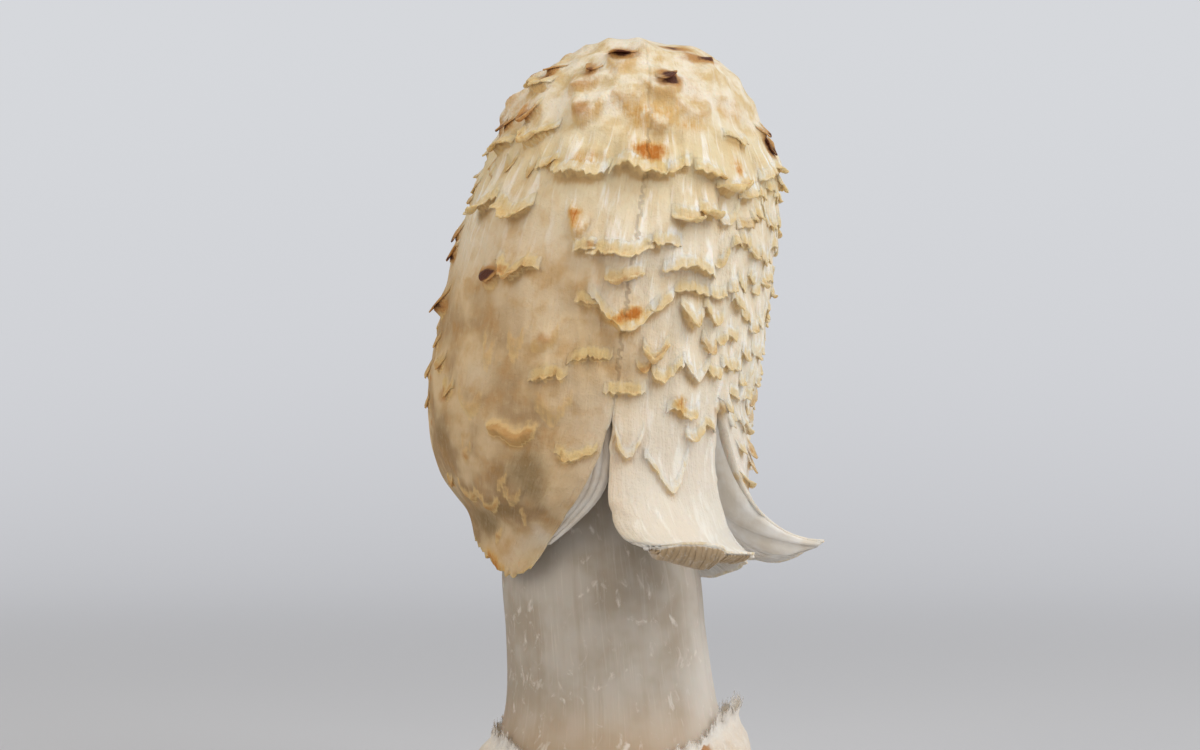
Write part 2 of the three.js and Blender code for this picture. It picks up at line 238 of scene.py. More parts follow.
def sheet_piece(name, material, sheets, weld=0.0):
    """One smooth piece of closed sheets. Each sheet has outer and inner points on the same grid, and
    marks by name for its points. It has walls all round, unless it has no `top_wall` or no
    `side_walls`, or none beside its first `open_rows` rows, where it joins its neighbours."""
    points, faces, marks, used = [], [], {}, 0
    for sheet in sheets:
        rows, columns = sheet["outer"].shape[:2]
        size = rows * columns
        index = np.arange(size).reshape(rows, columns) + used
        corners = (index[:-1, :-1], index[1:, :-1], index[1:, 1:], index[:-1, 1:])
        faces.append(np.stack(corners, -1).reshape(-1, 4))
        faces.append(np.stack(corners[::-1], -1).reshape(-1, 4) + size)
        rims = [index[-1, :]]
        if sheet.get("top_wall", True):
            rims.append(index[0, ::-1])
        free = sheet.get("open_rows", 0)
        if sheet.get("side_walls", True):
            rims += [index[free:, 0], index[::-1, -1][:rows - free]]
        for rim in rims:
            faces.append(np.stack([rim[:-1], rim[:-1] + size, rim[1:] + size, rim[1:]], -1))
        points += [sheet["outer"].reshape(-1, 3), sheet["inner"].reshape(-1, 3)]
        for key, values in sheet["marks"].items():
            marks.setdefault(key, []).extend([values.reshape(size, -1)] * 2)
        used += 2 * size
    mesh = smooth_mesh(name, np.concatenate(points), np.concatenate(faces).tolist(),
                       {key: np.concatenate(values) for key, values in marks.items()})
    if weld:
        work = bmesh.new()
        work.from_mesh(mesh)
        bmesh.ops.remove_doubles(work, verts=work.verts, dist=weld * MM)
        work.to_mesh(mesh)
        work.free()
    mesh.validate()
    return piece_of(mesh, material)


class Wire:
    """A socket of a material's node tree. Sums on it add Math nodes."""

    def __init__(self, tree, socket=None):
        self.tree, self.socket = tree, socket

    def node(self, kind, settings=None, inputs=None, output=0):
        made = self.tree.nodes.new("ShaderNode" + kind)
        for name, value in (settings or {}).items():
            setattr(made, name, value)
        for name, value in (inputs or {}).items():
            if isinstance(value, Wire):
                self.tree.links.new(value.socket, made.inputs[name])
            else:
                made.inputs[name].default_value = value
        return Wire(self.tree, made.outputs[output])

    def outputs(self, *names):
        """Other outputs of the same node."""
        return [Wire(self.tree, self.socket.node.outputs[name]) for name in names]

    def sum(self, operation, first, second):
        return self.node("Math", {"operation": operation}, {0: first, 1: second})

    def __add__(self, other):
        return self.sum("ADD", self, other)

    def __sub__(self, other):
        return self.sum("SUBTRACT", self, other)

    def __rsub__(self, other):
        return self.sum("SUBTRACT", other, self)

    def __mul__(self, other):
        return self.sum("MULTIPLY", self, other)

    __radd__, __rmul__ = __add__, __mul__

    def between(self, low, high):
        """0 at low, 1 at high and smooth between them."""
        return self.node("MapRange", {"interpolation_type": "SMOOTHSTEP"},
                         {"Value": self, "From Min": low, "From Max": high})

    def noise(self, places, scale, detail=3.0, roughness=0.55, stretch=(1, 1, 1), bend=0.0):
        placed = self.node("Mapping", None, {"Vector": places, "Scale": stretch})
        return self.node("TexNoise", None, {"Vector": placed, "Scale": scale, "Detail": detail,
                                            "Roughness": roughness, "Distortion": bend})

    def mark(self, name, output):
        """A mark that the mesh carries."""
        return self.node("Attribute", {"attribute_name": name}, None, output)

    def axis(self, vector, axis):
        return self.node("SeparateXYZ", None, {0: vector}, axis)

    def mix(self, first, second, factor):
        """Two colours mixed by a factor."""
        return self.node("Mix", {"data_type": "RGBA"}, {0: factor, 6: first, 7: second}, output=2)

    def layers(self, colour, *layers):
        """A colour under layers of other colours, each with the factor by which it covers."""
        for code, factor in layers:
            colour = self.mix(colour, paint(code), factor)
        return colour

    def bump(self, strength, depth, height):
        return self.node("Bump", None, {"Strength": strength, "Distance": depth * MM, "Height": height})

    def feed(self, shader, varying, fixed):
        """Links the shader's sockets that vary over the surface, and sets those that don't."""
        for name, value in varying.items():
            self.tree.links.new(value.socket, shader.inputs[name])
        for name, value in fixed.items():
            shader.inputs[name].default_value = value


def paint(code):
    """A colour written as it looks, such as d9c8a6, in the linear values that a shader takes."""
    parts = [int(code[i:i + 2], 16) / 255 for i in (0, 2, 4)]
    return (*(((p + 0.055) / 1.055) ** 2.4 if p > 0.04 else p / 12.92 for p in parts), 1)


def start_material(name):
    """A new material's wire, its shader's sockets and its places in millimetres."""
    material = bpy.data.materials.new(name)
    material.use_nodes = True
    wire = Wire(material.node_tree)
    shader = material.node_tree.nodes["Principled BSDF"]
    places = wire.node("VectorMath", {"operation": "SCALE"},
                       {0: wire.node("TexCoord", None, None, "Object"), "Scale": 1 / MM})
    return material, wire, shader, places


def flesh_material():
    """Cream fibrous flesh. Marks on the mesh say where it is a dry edge, browned, stained orange,
    or part of the older and more weathered side, whose tan is partly painted shade."""
    material, wire, shader, places = start_material("cap_flesh")
    marks = wire.mark("marks", "Color")
    edge, brown, orange = wire.node("SeparateColor", None, {"Color": marks}).outputs(0, 1, 2)
    old_and_shaded = marks.outputs("Alpha")[0]
    fibre = wire.mark("fibre", "Vector")
    under, high = wire.axis(fibre, "Z"), wire.axis(places, "Z")
    threads = wire.noise(fibre, 1.0, 3.0, 0.62, (2.2, 0.24, 0), 0.9)
    bundles = wire.noise(fibre, 1.0, 2.0, 0.5, (0.9, 0.14, 0), 0.7)
    mottle = wire.noise(places, 0.11, 3.0, 0.5)
    cloud = wire.noise(places, 0.3, 3.0, 0.55)
    blotch = wire.noise(places, 0.8, 3.0, 0.6)
    grain = wire.noise(places, 3.2, 2.0, 0.6)
    crown = high.between(100, 108)

    # painted highlight where the fibres stand proud and out of the painted shade
    proud_highlight = (0.14 - under + (bundles - 0.5) * 1.6).between(0.1, 0.5)
    # painted shade, darkest just under the scales' edges, broken up by the fibre threads
    shade = (under + (threads - 0.5) * 0.6).between(0.1, 0.85)
    dry = (edge * (0.85 + old_and_shaded * 0.6) + (blotch - 0.5) * 1.1 + (threads - 0.5) * 0.6) * edge.between(0, 0.25)
    tanned = brown * 1.2 + (blotch - 0.5) * 0.5 * brown.between(0, 0.25)
    charred = (brown + (blotch - 0.5) * 0.5 * brown.between(0, 0.3)).between(0.5, 0.85)
    stain = orange + ((blotch - 0.5) * 1.3 + (threads - 0.5) * 1.1) * orange.between(0, 0.5)
    colour = wire.layers(
        wire.mix(paint("e6ddd0"), paint("e8dcc6"), high.between(52, 72)),
        ("e3d2ac", high.between(84, 102)),
        ("d0b07b", cloud.between(0.42, 0.68) * high.between(50, 90) * (0.3 + crown * 0.35 + old_and_shaded * 0.5)),
        ("cf9f62", mottle.between(0.52, 0.68) * crown * 0.4),
        ("f2eadc", (1 - cloud.between(0.34, 0.64)) * crown * 0.7),
        # the fibres' own white and a painted highlight where they stand proud, tan streaks between them
        ("f7f3eb", proud_highlight * (1 - old_and_shaded) * (1 - 0.75 * crown) * 0.95),
        ("c4a675", threads.between(0.55, 0.8) * high.between(45, 75) * (1 - 0.6 * crown) * 0.22),
        # the older side: partly its own tan, partly painted shade on the side turned from the key lamp
        ("d2b384", old_and_shaded.between(0.05, 0.75) * 0.85),
        ("9a7a54", old_and_shaded.between(0.25, 0.95) * mottle.between(0.38, 0.6) * 0.85),
        ("b98d55", old_and_shaded.between(0.15, 0.7) * cloud.between(0.44, 0.76) * 0.6),
        ("77623f", old_and_shaded.between(0.85, 1.8) * 0.8),
        ("e3cfae", old_and_shaded.between(0.15, 0.7) * (threads + blotch - 0.5).between(0.4, 0.95) * 0.25),
        # painted shade under the scales, then their dry edges, their brown tips and the bruises
        ("bb9152", shade * 0.66),
        ("e0c087", dry.between(0.15, 0.8) * 0.75),
        ("b98a50", dry.between(0.75, 1.25) * 0.65),
        ("b5834c", tanned.between(0.08, 0.6) * 0.85),
        ("4a2219", charred * 0.95),
        ("d8ac66", stain.between(0.0, 0.6) * 0.8),
        ("b96f26", stain.between(0.35, 1.15) * 0.95))
    height = (threads + bundles) * (1 - 0.6 * crown) * 0.6 + grain * 0.16 + blotch * (0.8 + crown * 0.6)
    wire.feed(shader, {"Base Color": colour, "Normal": wire.bump(0.8, 0.42, height),
                       "Roughness": 0.84 - charred * 0.25 + (threads - 0.5) * 0.12},
              {"Specular IOR Level": 0.2, "Subsurface Weight": 0.4, "Subsurface Scale": 1.2 * MM,
               "Subsurface Radius": (1, 0.75, 0.55)})
    return material


cap_flesh = flesh_material()

# Spots on the skin: compass angle, height, half the width and half the height in millimetres, and
# strength. Bruises have turned orange, and the driest tips of scales dark purple brown.
BRUISES = [(274.5, 100.6, 1.7, 1.1, 0.9), (278, 99.9, 1.5, 1.2, 1), (281, 100.7, 1.2, 0.9, 0.8),
           (275, 76.2, 1.4, 0.9, 0.9), (279, 76.9, 1.3, 0.9, 1), (281.5, 77.5, 0.9, 0.7, 0.7),
           (314, 98.4, 1, 1.4, 0.7), (254, 91.4, 1.1, 0.9, 1), (255, 89.8, 0.8, 0.8, 0.7),
           (300, 64.4, 1, 0.8, 0.8), (301, 63, 0.8, 0.8, 0.5), (281, 106.5, 2.4, 1.4, 0.4),
           (294, 104.4, 3, 1.2, 0.4), (270, 106.4, 1.8, 1.6, 0.4), (274, 104, 1.5, 1.2, 0.3),
           (236, 39.6, 2.2, 2, 0.6), (241, 37.6, 2.2, 1.4, 0.8), (254, 99.4, 2.6, 1.2, 0.45),
           (240, 99, 2, 1, 0.35), (60, 92, 1.8, 1.4, 0.8), (110, 80, 1.5, 1.2, 0.7),
           (20, 74, 1.3, 1, 0.7), (150, 96, 1.7, 1.3, 0.6), (95, 60, 1.2, 1, 0.6),
           (180, 62, 1.1, 1, 0.5)]
TIPS = [(258, 115.5, 2, 0.9, 1), (287, 111.6, 1.4, 1.2, 1.1), (284, 110.8, 1.8, 0.8, 0.4),
        (243, 112.8, 1.1, 1, 0.75), (319, 114.9, 3, 0.8, 0.9), (310, 116.6, 2, 0.5, 0.8),
        (192, 115.3, 1.2, 0.6, 0.7), (190, 113.3, 1, 0.7, 0.7), (189, 110.2, 1, 0.8, 0.7),
        (213, 112.4, 1.2, 0.6, 0.8), (242, 110.6, 2, 0.8, 0.4), (247, 106.8, 1.8, 1.2, 0.55),
        (205, 104.8, 1.3, 0.8, 0.9), (191, 104.3, 1.2, 1, 1), (184, 106, 1, 0.7, 0.8),
        (218, 106.2, 0.7, 0.9, 0.9), (344, 103.4, 1.1, 1.3, 1), (346, 101.4, 1, 1.2, 0.9),
        (224, 82.6, 1.7, 1.2, 1.1), (229, 83.4, 2.2, 0.6, 0.5), (186, 88.4, 0.8, 0.7, 0.9),
        (188, 85.8, 0.8, 0.8, 0.9), (190, 79, 1.8, 1.4, 0.85), (262, 86.9, 0.9, 0.4, 0.7),
        (251, 73.4, 1.8, 1, 0.4), (285, 69, 0.9, 0.6, 0.4), (206, 65.2, 1.6, 1.1, 0.55),
        (190, 70.6, 0.9, 0.7, 0.6), (190, 67.8, 0.8, 0.6, 0.5), (189, 61.2, 0.8, 0.7, 0.5),
        (349, 64, 0.7, 0.5, 0.6), (347, 61.6, 0.6, 0.5, 0.55), (346, 57, 0.6, 0.6, 0.5),
        (222, 56.6, 1, 0.8, 0.45), (240, 44.6, 0.7, 0.5, 0.4), (60, 108, 1.8, 1.1, 0.9),
        (120, 112, 1.6, 1, 0.9), (150, 101, 1.3, 1.1, 0.9), (85, 100, 1.2, 0.9, 0.7),
        (30, 106, 1.5, 1, 0.8), (165, 90, 1.2, 0.9, 0.8), (130, 84, 1.3, 0.9, 0.5)]
# Soft dark patches on the older side, partly its own tan, partly painted shade; and paler places.
PATCHES = [(249, 55.6, 4.2, 3.6, 1), (256, 52, 2.6, 2.4, 0.6), (230, 46.4, 4.6, 2, 0.9),
           (244, 48.6, 5, 1.5, 0.7), (262, 49, 1.6, 3, 0.4), (206, 60, 3, 4, 0.5), (196, 50, 3, 3, 0.5),
           (150, 52, 3.4, 2.6, 0.7), (267, 73, 5, 7, 0.3), (279, 69.6, 4.4, 3, 0.25),
           (255, 82, 4, 3.4, 0.2)]
CLEAR = [(258, 43.6, 3.4, 2.6, 0.5), (250, 41.4, 2.6, 2.2, 0.4), (238, 59, 3.6, 3, 0.6),
         (266, 46, 2, 3.6, 0.5), (226, 68, 5, 4, 0.5), (204, 92, 5, 6, 0.7)]


def skin_at(angle, height):
    """The point of the skin at a compass angle and a height."""
    name, share = lobe_at(angle)
    return skin(LOBES[name], share, drop_at_height(LOBES[name], share, height))


def placed_spots(spots):
    """Each spot's place on the skin, with its two half sizes and strength."""
    return [(*skin_at(spot[0], spot[1]), *spot[2:]) for spot in spots]


def spotted(points, spots):
    """How strongly each point is marked by spots, however far it stands out from the skin."""
    total = np.zeros(points.shape[:-1])
    around = np.arctan2(points[..., 1], points[..., 0])
    for x, y, z, half_width, half_height, strength in spots:
        if abs(points[..., 2] - z).min() > 3 * half_height:
            continue
        turn = np.sin(around - math.atan2(y, x)) * math.hypot(x, y)
        away = np.hypot(turn / half_width, (points[..., 2] - z) / half_height)
        total += strength * np.exp(-away**2) * (points[..., 0] * x + points[..., 1] * y > 0)
    return np.clip(total, 0, 1)


bruises, tips, patches, clear = (placed_spots(spots) for spots in (BRUISES, TIPS, PATCHES, CLEAR))


def aged_and_shaded(points):
    """How aged the flesh looks, with painted shade on the side turned from the key lamp: most on the
    low left side, and a little all over the back.
    """
    angle = np.degrees(np.arctan2(points[..., 1], points[..., 0])) % 360
    side = np.exp(-((angle - 205) / 60) ** 2)
    low = ease(104, 56, points[..., 2])
    old_and_shaded = np.clip(0.06 + side * (0.14 + 0.84 * low) + 0.1 * lumps(points, 9, 5), 0, 1)
    return old_and_shaded * (1 - 0.85 * spotted(points, clear)) + 0.8 * spotted(points, patches)


def flesh_marks(points, edge, brown):
    """The marks that the flesh material reads."""
    brown = np.maximum(brown, spotted(points, tips))
    return np.stack(np.broadcast_arrays(edge, brown, spotted(points, bruises), aged_and_shaded(points)), -1)


# ------------------------------------------------------------------ skin and scales
# As the bell grows its skin breaks up into scales: broad low terraces of upright fibre that swell
# out of the skin, so skin and scales are made together. Each ends below in a thin free lip, torn
# and curled, which dries yellow to dark brown.

# Each kind's width and length; how far its edge stands out; how round its outline is; how closely
# its sides hold to the skin; how softly it falls away below; its lip's length, curl in degrees, how
# pointed and how thick; how ragged, brown and dry.
SCALE_PARTS = ("width", "length", "rise", "round", "hold", "soft", "lip", "curl", "point", "thick",
               "ragged", "brown", "dry")
SCALE_KINDS = {kind: dict(zip(SCALE_PARTS, values)) for kind, values in {
    "terrace": (9, 6.5, 1.05, 0.06, 0.75, 0.8, 0.3, 60, 0, 0.26, 1, 0, 0.6),
    "tongue": (5.2, 5.5, 0.95, 0.16, 0.7, 0.8, 0.3, 60, 0.1, 0.26, 1, 0, 0.65),
    "rolled": (6, 5, 1.15, 0.1, 0.75, 0.8, 0.7, 125, 0.1, 0.28, 0.9, 0, 0.7),
    "shield": (8.5, 7.5, 0.9, 0.45, 0.7, 0.8, 0.15, 40, 0, 0.24, 0.8, 0, 0.4),
    "fold": (5, 4.6, 1.4, 0.8, 1, 2.4, 0, 0, 0, 0.3, 0.5, 0.2, 0.3),
    "beak": (3, 3.8, 1, 0.6, 0.98, 1.1, 0.5, 40, 0.9, 0.2, 0.3, 0.45, 0.5),
    "spur": (2.6, 3.4, 0.55, 0.5, 0.95, 1, 0.2, 30, 0.6, 0.25, 0.5, 0.25, 0.6),
    "crust": (6, 3.6, 0.5, 0.4, 0.9, 1.2, 0, 0, 0, 0.3, 0.9, 0.5, 0.4),
}.items()}

# The scales that stand out: kind, compass angle and height of the free edge, then the width, length,
# rise and lip that differ from its kind's, and anything else that does.
CHOSEN_SCALES = [
    # dark beaks, folds and crusts on the crown
    ("beak", 258, 115, (4.4, 3.4, None, 1.2)),
    ("fold", 259, 112.6, (5.4, 4.2, 0.9)),
    ("beak", 287, 110.9, (3.6, 3.6, 1.3, 1)),
    ("fold", 284, 108.8, (7.4, 4.6, 1.3)),
    ("crust", 317, 114.3, (6.4, 3, 0.7)),
    ("beak", 243, 112.2, (3.2, 3.2, None, 0.8)),
    ("fold", 242, 110, (6.4, 4.4, 1.2)),
    ("fold", 196, 115, (3.4, 3, 0.8)),
    ("beak", 212, 112.6, (3.4, None, 1)),
    ("rolled", 212, 109, (6.4, 5.4, 1.9, 0.3), dict(round=0.5)),
    ("fold", 192, 111.4, (3.6, None, 0.9)),
    ("fold", 189, 108.2, (4.4, None, 1.1)),
    ("fold", 249, 105.4, (6, 6.2, 2.2)),
    ("beak", 219, 105.4, (3.2, 4.8, 1.3, 1.4), dict(thick=0.3, curl=80)),
    ("rolled", 227, 102.8, (7.4, 4.8, 1.4, 0.5), dict(round=0.3)),
    ("beak", 206, 104.4, (3.2, 3.6, 0.9)),
    ("rolled", 209, 101.4, (6.4, 4.8, 1.7, 0.5), dict(round=0.3)),
    ("beak", 191, 104.2, (3.6, None, 1)),
    ("fold", 184, 106, (3.4, None, 0.8)),
    ("beak", 343, 103.6, (3, 3.6, 0.8)),
    ("beak", 346, 101, (2.6, 3.4, 0.8)),
    ("rolled", 352, 98.2, (7.6, 6.4, 1.4, 0.6)),
    ("tongue", 1, 96.4, (4, None, 1.1, 0.6)),
    ("terrace", 338, 97.4, (6, 7)),
    ("fold", 268, 107.8, (7, 5, 0.8)),
    ("fold", 297, 105.8, (8.6, 5, 1)),
    ("fold", 282, 104, (6.6, 4.6, 0.9)),
    # the broad ragged terraces round the upper bell
    ("terrace", 252, 97.4, (9.6, 9, 2.1, 0.5), dict(curl=20)),
    ("terrace", 240, 98.8, (5, 7, 1.1)),
    ("terrace", 275, 98, (9.4, 8, 2, 0.7), dict(ragged=1.3)),
    ("terrace", 287, 98.8, (5.6, 7, 1.3), dict(ragged=1.2)),
    ("rolled", 302, 96.8, (5.6, 8, 1.7, 1)),
    ("rolled", 313, 95.6, (6.4, 8, 2, 1)),
    ("terrace", 324, 94.4, (6, 7)),
    ("terrace", 228, 93, (7.6, 9.5, 1.6, 1.4), dict(curl=70)),
    ("terrace", 213, 94, (6.6, 9, 1.5, 1.2)),
    ("spur", 219, 98, (2.4, 5, 0.5)),
    ("spur", 232, 97.4, (2.2, 5, 0.5)),
    ("spur", 190, 95.4, (3,)),
    ("spur", 187, 93.6, ()),
    ("fold", 256, 88.6, (4.4, 4.6, 1.5)),
    ("terrace", 272, 86.6, (9.8, 9.5, 1.8, 0.8), dict(curl=60)),
    ("terrace", 261, 86.8, (4.6, 7, 1.1)),
    ("terrace", 286, 87.6, (6.6, 8.5, 1.2)),
    ("rolled", 294, 90.8, (5.2, 6.5, 1.6, 1.6), dict(curl=100)),
    ("rolled", 302, 92, (4.2, 6, 1.6, 1.6), dict(curl=90)),
    ("terrace", 298, 83.4, (9.2, 9, 1.8)),
    ("rolled", 275, 83.2, (5.8, 6, 1.2, 1.6), dict(round=0.08, curl=110)),
    ("shield", 276, 75.4, (11, 10, 1.7, 0.5)),
    ("tongue", 265, 78.6, (5, 6, 0.8, 0.2)),
    ("tongue", 288, 79, (5, 6, 1)),
    ("terrace", 267, 70.6, (6.6, 5, 0.6, 0.2)),
    ("tongue", 294, 69, (5.4, 6, 0.9)),
    ("terrace", 280, 66.2, (6.4, 5, 0.6, 0.25)),
    ("rolled", 301, 75, (4.4, 7), dict(round=0.5)),
    ("rolled", 289, 71.2, (4.2, 4.6, 0.9), dict(round=0.6)),
    ("spur", 286, 69.2, (3,)),
    ("tongue", 310, 76.4, (4.4,)),
    ("tongue", 318, 73.4, (5,)),
    ("tongue", 302, 62.4, (5.6, 6, 0.8)),
    ("terrace", 310, 60.6, (5.6, 5, 0.7), dict(ragged=1.2)),
    ("shield", 282, 56.6, (5, 9, 0.9), dict(round=0.6)),
    ("shield", 297, 51.4, (7.4, 8, 0.5, 0.15), dict(round=0.6)),
    # the smoother left side
    ("beak", 225, 81.6, (4.6, 5, 1.5, 0.3), dict(soft=1.4, round=0.5)),
    ("rolled", 236, 83.4, (8, 5, 1.5, 0.8), dict(curl=90)),
    ("beak", 189, 78.2, (5, 4.6, 1.8), dict(soft=1.6, round=0.5)),
    ("beak", 186, 88.4, (2.4, None, 0.8, 0.5)),
    ("beak", 188, 85.6, (2.8, None, 0.9, 0.5)),
    ("fold", 251, 72.8, (5, 4.4, 1.2)),
    ("fold", 240, 72.2, (3.6, 4.4, 0.9)),
    ("fold", 229, 70.6, (3, 5.2, 0.7)),
    ("spur", 200, 69.2, (3.6,)),
    ("spur", 209, 65.4, (4,)),
    ("spur", 190, 72.6, ()),
    ("spur", 186, 63.6, ()),
    ("spur", 185, 68, ()),
    ("fold", 223, 63.4, (6.4, 5, 1.1), dict(round=0.9)),
    ("fold", 256, 62.6, (7, 5, 0.9), dict(round=0.9)),
    ("fold", 242, 59, (9.4, 3.6, 1.9), dict(soft=1.2, round=0.8, ragged=0.7, dry=0.9)),
    ("fold", 222, 56.6, (3, 4, 0.8), dict(soft=1.4, round=0.9)),
    ("fold", 242, 52.8, (2.4, 3.6, 0.6), dict(soft=1.4, round=0.9)),
    ("fold", 221, 50.4, (7.4, 4.6, 0.9), dict(soft=1.2, round=0.8, ragged=1.3, dry=0.5)),
    ("fold", 234, 49.2, (7.4, 4.6, 0.8), dict(soft=1.2, round=0.8, ragged=1.3, dry=0.5)),
    ("fold", 247, 49.6, (4.6, 4.4, 0.6), dict(soft=1.4, round=0.9, ragged=1.2)),
    ("spur", 205, 52, ()),
    ("fold", 240, 44.6, (2.6, 3.4, 0.6), dict(soft=1.4, round=0.9)),
    ("fold", 254, 46.6, (2.6, 3.4, 0.5), dict(soft=1.4, round=0.9)),
    # small spurs down the right edge
    ("spur", 348, 64.4, (2.2,)),
    ("spur", 350, 61.8, (2,)),
    ("spur", 347, 57.4, (2.2, None, None, 1.4)),
    ("spur", 346, 55, (2.4, None, None, 1.2)),
]


def crowding(angle, height):
    """How thickly the scales stand: 1 on the right and round the back, few on the smooth crown, on
    the low left side, in front, where the broadest stand, and on the skirt."""
    turned = np.asarray(angle, float) % 360
    left_side = np.exp(-((turned - 208) / 50) ** 4) * ease(102, 94, height)
    middle = np.exp(-((turned - 262) / 30) ** 4)
    crown = ease(106, 100, height)
    low = 0.1 + 0.9 * ease(50, 60, height)
    front = np.exp(-((turned - 296) / 20) ** 4) * ease(68, 63, height)
    return (1 - 0.95 * left_side) * (1 - 0.72 * middle) * low * (0.08 + 0.92 * crown) * (1 - front)


def scale_row(seed, kind, angle, height, sizes, changes=None):
    """Everything about one scale. Its seed makes it differ from others of its kind."""
    own = {part: size for part, size in zip(("width", "length", "rise", "lip"), sizes) if size is not None}
    name, share = lobe_at(angle % 360)
    drop = float(drop_at_height(LOBES[name], share, height))
    return {**SCALE_KINDS[kind], **own, **(changes or {}), "lobe": name, "angle": angle % 360,
            "height": height, "down": float(np.interp(drop, DROPS, DISTANCES)), "seed": seed}


HIGHEST_RING, CROWN_FOOT, SHOULDER_HEIGHT, LOWEST_RING = 115.0, 104, 100, 46
RING_SPACING, SHOULDER_SPACING, RING_SCATTER = 4.2, 4.3, 2.6
SCALE_OVERLAP, SCALE_CLEARANCE = 0.42, 3.0
GROWN_KINDS = {"crown": ("fold", "fold", "terrace", "spur", "crust"), "left": ("spur", "fold"),
               "bell": ("terrace", "tongue", "tongue", "rolled", "terrace", "shield")}
SMALL_KINDS = ("spur", "fold", "crust")


def drawn_scale(seed, angle, height, width, pick, pick_more, dark, long, stout):
    """A scale whose kind, size and browning come from draws, and from where it grows."""
    left_side = math.exp(-((angle - 205) / 70) ** 2)
    quiet = 1 - 0.65 * math.exp(-(((angle + 170) % 360 - 160) / 24) ** 2)
    if height > CROWN_FOOT:
        zone, pick_more = "crown", pick
    else:
        zone = "left" if pick < 0.5 * left_side else "bell"
    kind = GROWN_KINDS[zone][int(pick_more * len(GROWN_KINDS[zone]))]
    size = SCALE_KINDS[kind]
    sizes = (size["width"] * 0.8 if kind in SMALL_KINDS else width,
             size["length"] * (0.75 + 0.4 * long),
             size["rise"] * (0.6 + 0.7 * stout) * (1 - 0.5 * left_side) * quiet,
             size["lip"] * (1 - 0.6 * left_side) * quiet)
    browned = dark ** 3 * (0.2 + 0.4 * left_side + 0.5 * float(ease(95, 110, height)))
    return scale_row(seed, kind, angle, height, sizes, dict(brown=max(size["brown"] * 0.75, browned)))


def grown_scales(chosen):
    """The rest of the scales, in uneven rings down the bell, kept off the chosen ones."""
    rng = np.random.default_rng(23)
    grown = []
    height = HIGHEST_RING
    while height > LOWEST_RING:
        reach = CAP_RADIUS * min(1, ((CAP_TOP - height) / 20) ** 0.5)
        angle = rng.uniform(0, 10)
        while angle < 360:
            fine = float(ease(288, 312, angle) * ease(100, 92, height)) if angle > 200 else 0.25
            wide, high, grows, *draws = rng.uniform(size=8)
            width = (3.4 + 3.2 * wide) * (1 - 0.35 * fine) + 1.6 * (1 - fine)
            angle += math.degrees(width * SCALE_OVERLAP / reach)
            edge = height + (high - 0.5) * RING_SCATTER
            near = [s for s in chosen if abs(s["height"] - edge) < SCALE_CLEARANCE
                    and abs((s["angle"] - angle + 180) % 360 - 180) * reach / DEGREES_EACH
                    < 0.4 * (s["width"] + width)]
            if not near and grows < crowding(angle, edge) and angle < 359:
                grown.append(drawn_scale(100 + len(grown), angle, edge, width, *draws))
                width = grown[-1]["width"]
            angle += math.degrees(width * SCALE_OVERLAP / reach)
        height -= SHOULDER_SPACING if height > SHOULDER_HEIGHT else RING_SPACING
    return grown


def local_radius(down):
    """The bell's radius at a distance down the skin, before any tear."""
    return np.maximum(np.interp(down, DISTANCES, crown_line[:, 0]), 1.5)


def strands(x, size, seed):
    """Uneven steps from -1 to 1 across bundles of fibre about `size` wide."""
    spot = x / size + 0.45 * lumps(np.stack([x, 0 * x + seed], -1), 2.6 * size, 4)
    cell = np.floor(spot).astype(int)
    here, after = (SHUFFLED[(cell + step + 7 * seed) & 255] / 127.5 - 1 for step in (0, 1))
    return here + (after - here) * ease(0.62, 1, spot - cell)


def free_edge(row, x):
    """How far down the skin a scale's torn edge lies at a distance across it, its raggedness, and
    how far each bundle of its fibres stands out."""
    place = math.radians(row["angle"]) * local_radius(row["down"]) + x
    line = np.stack([place, 0 * x + row["down"] / 3], -1)
    fray = 1 - 2 * np.abs(lumps(line, 0.7))
    sway = lumps(line, 2.8, 3)
    bundle = strands(place, 1.35, 0)
    u = np.clip(np.abs(x + 0.9 * sway) / row["width"] * 2, 0, 1)
    lean = x * 0.16 * math.sin(row["seed"] * 2.1)
    drawn = row["round"] * u**1.7 * row["length"]
    torn_off = row["ragged"] * (0.2 * fray + 1.5 * sway + 0.25 * bundle)
    return row["down"] - drawn + lean + torn_off, fray, sway, bundle


def swelling(row, x, down):
    """How far a scale lifts the skin above its free edge."""
    u = np.clip(np.abs(x) / row["width"] * 2, 0, 1)
    edge, _, _, bundle = free_edge(row, x)
    root = row["down"] - row["length"]
    ramp = np.clip((down - root) / np.maximum(edge - root, 0.6), 0, 1)
    pleats = lumps(np.stack(np.broadcast_arrays(x / 0.8, down / 13 + row["seed"]), -1), 1.0, 7)
    fibres = row["ragged"] * (0.3 * bundle + 0.16 * pleats) * ease(0.05, 0.75, ramp)
    return (row["rise"] * ramp**1.7 + fibres) * (1 - row["hold"] * u**2.6), edge


# The relief of the skin lies on a grid of angles and distances down the skin. Its layers are how far
# the skin is lifted, how dry and how brown it is, and the painted shade where it lies sheltered.
GRID_TURN, GRID_STEP = 0.5, 0.2
GRID_ANGLES = np.arange(0, 360, GRID_TURN)
GRID_DOWN = np.arange(math.floor(DISTANCES[0]), SKIRT_LENGTH + GRID_STEP, GRID_STEP)
LIFT, DRY, BROWN, PAINTED_SHADE = range(4)


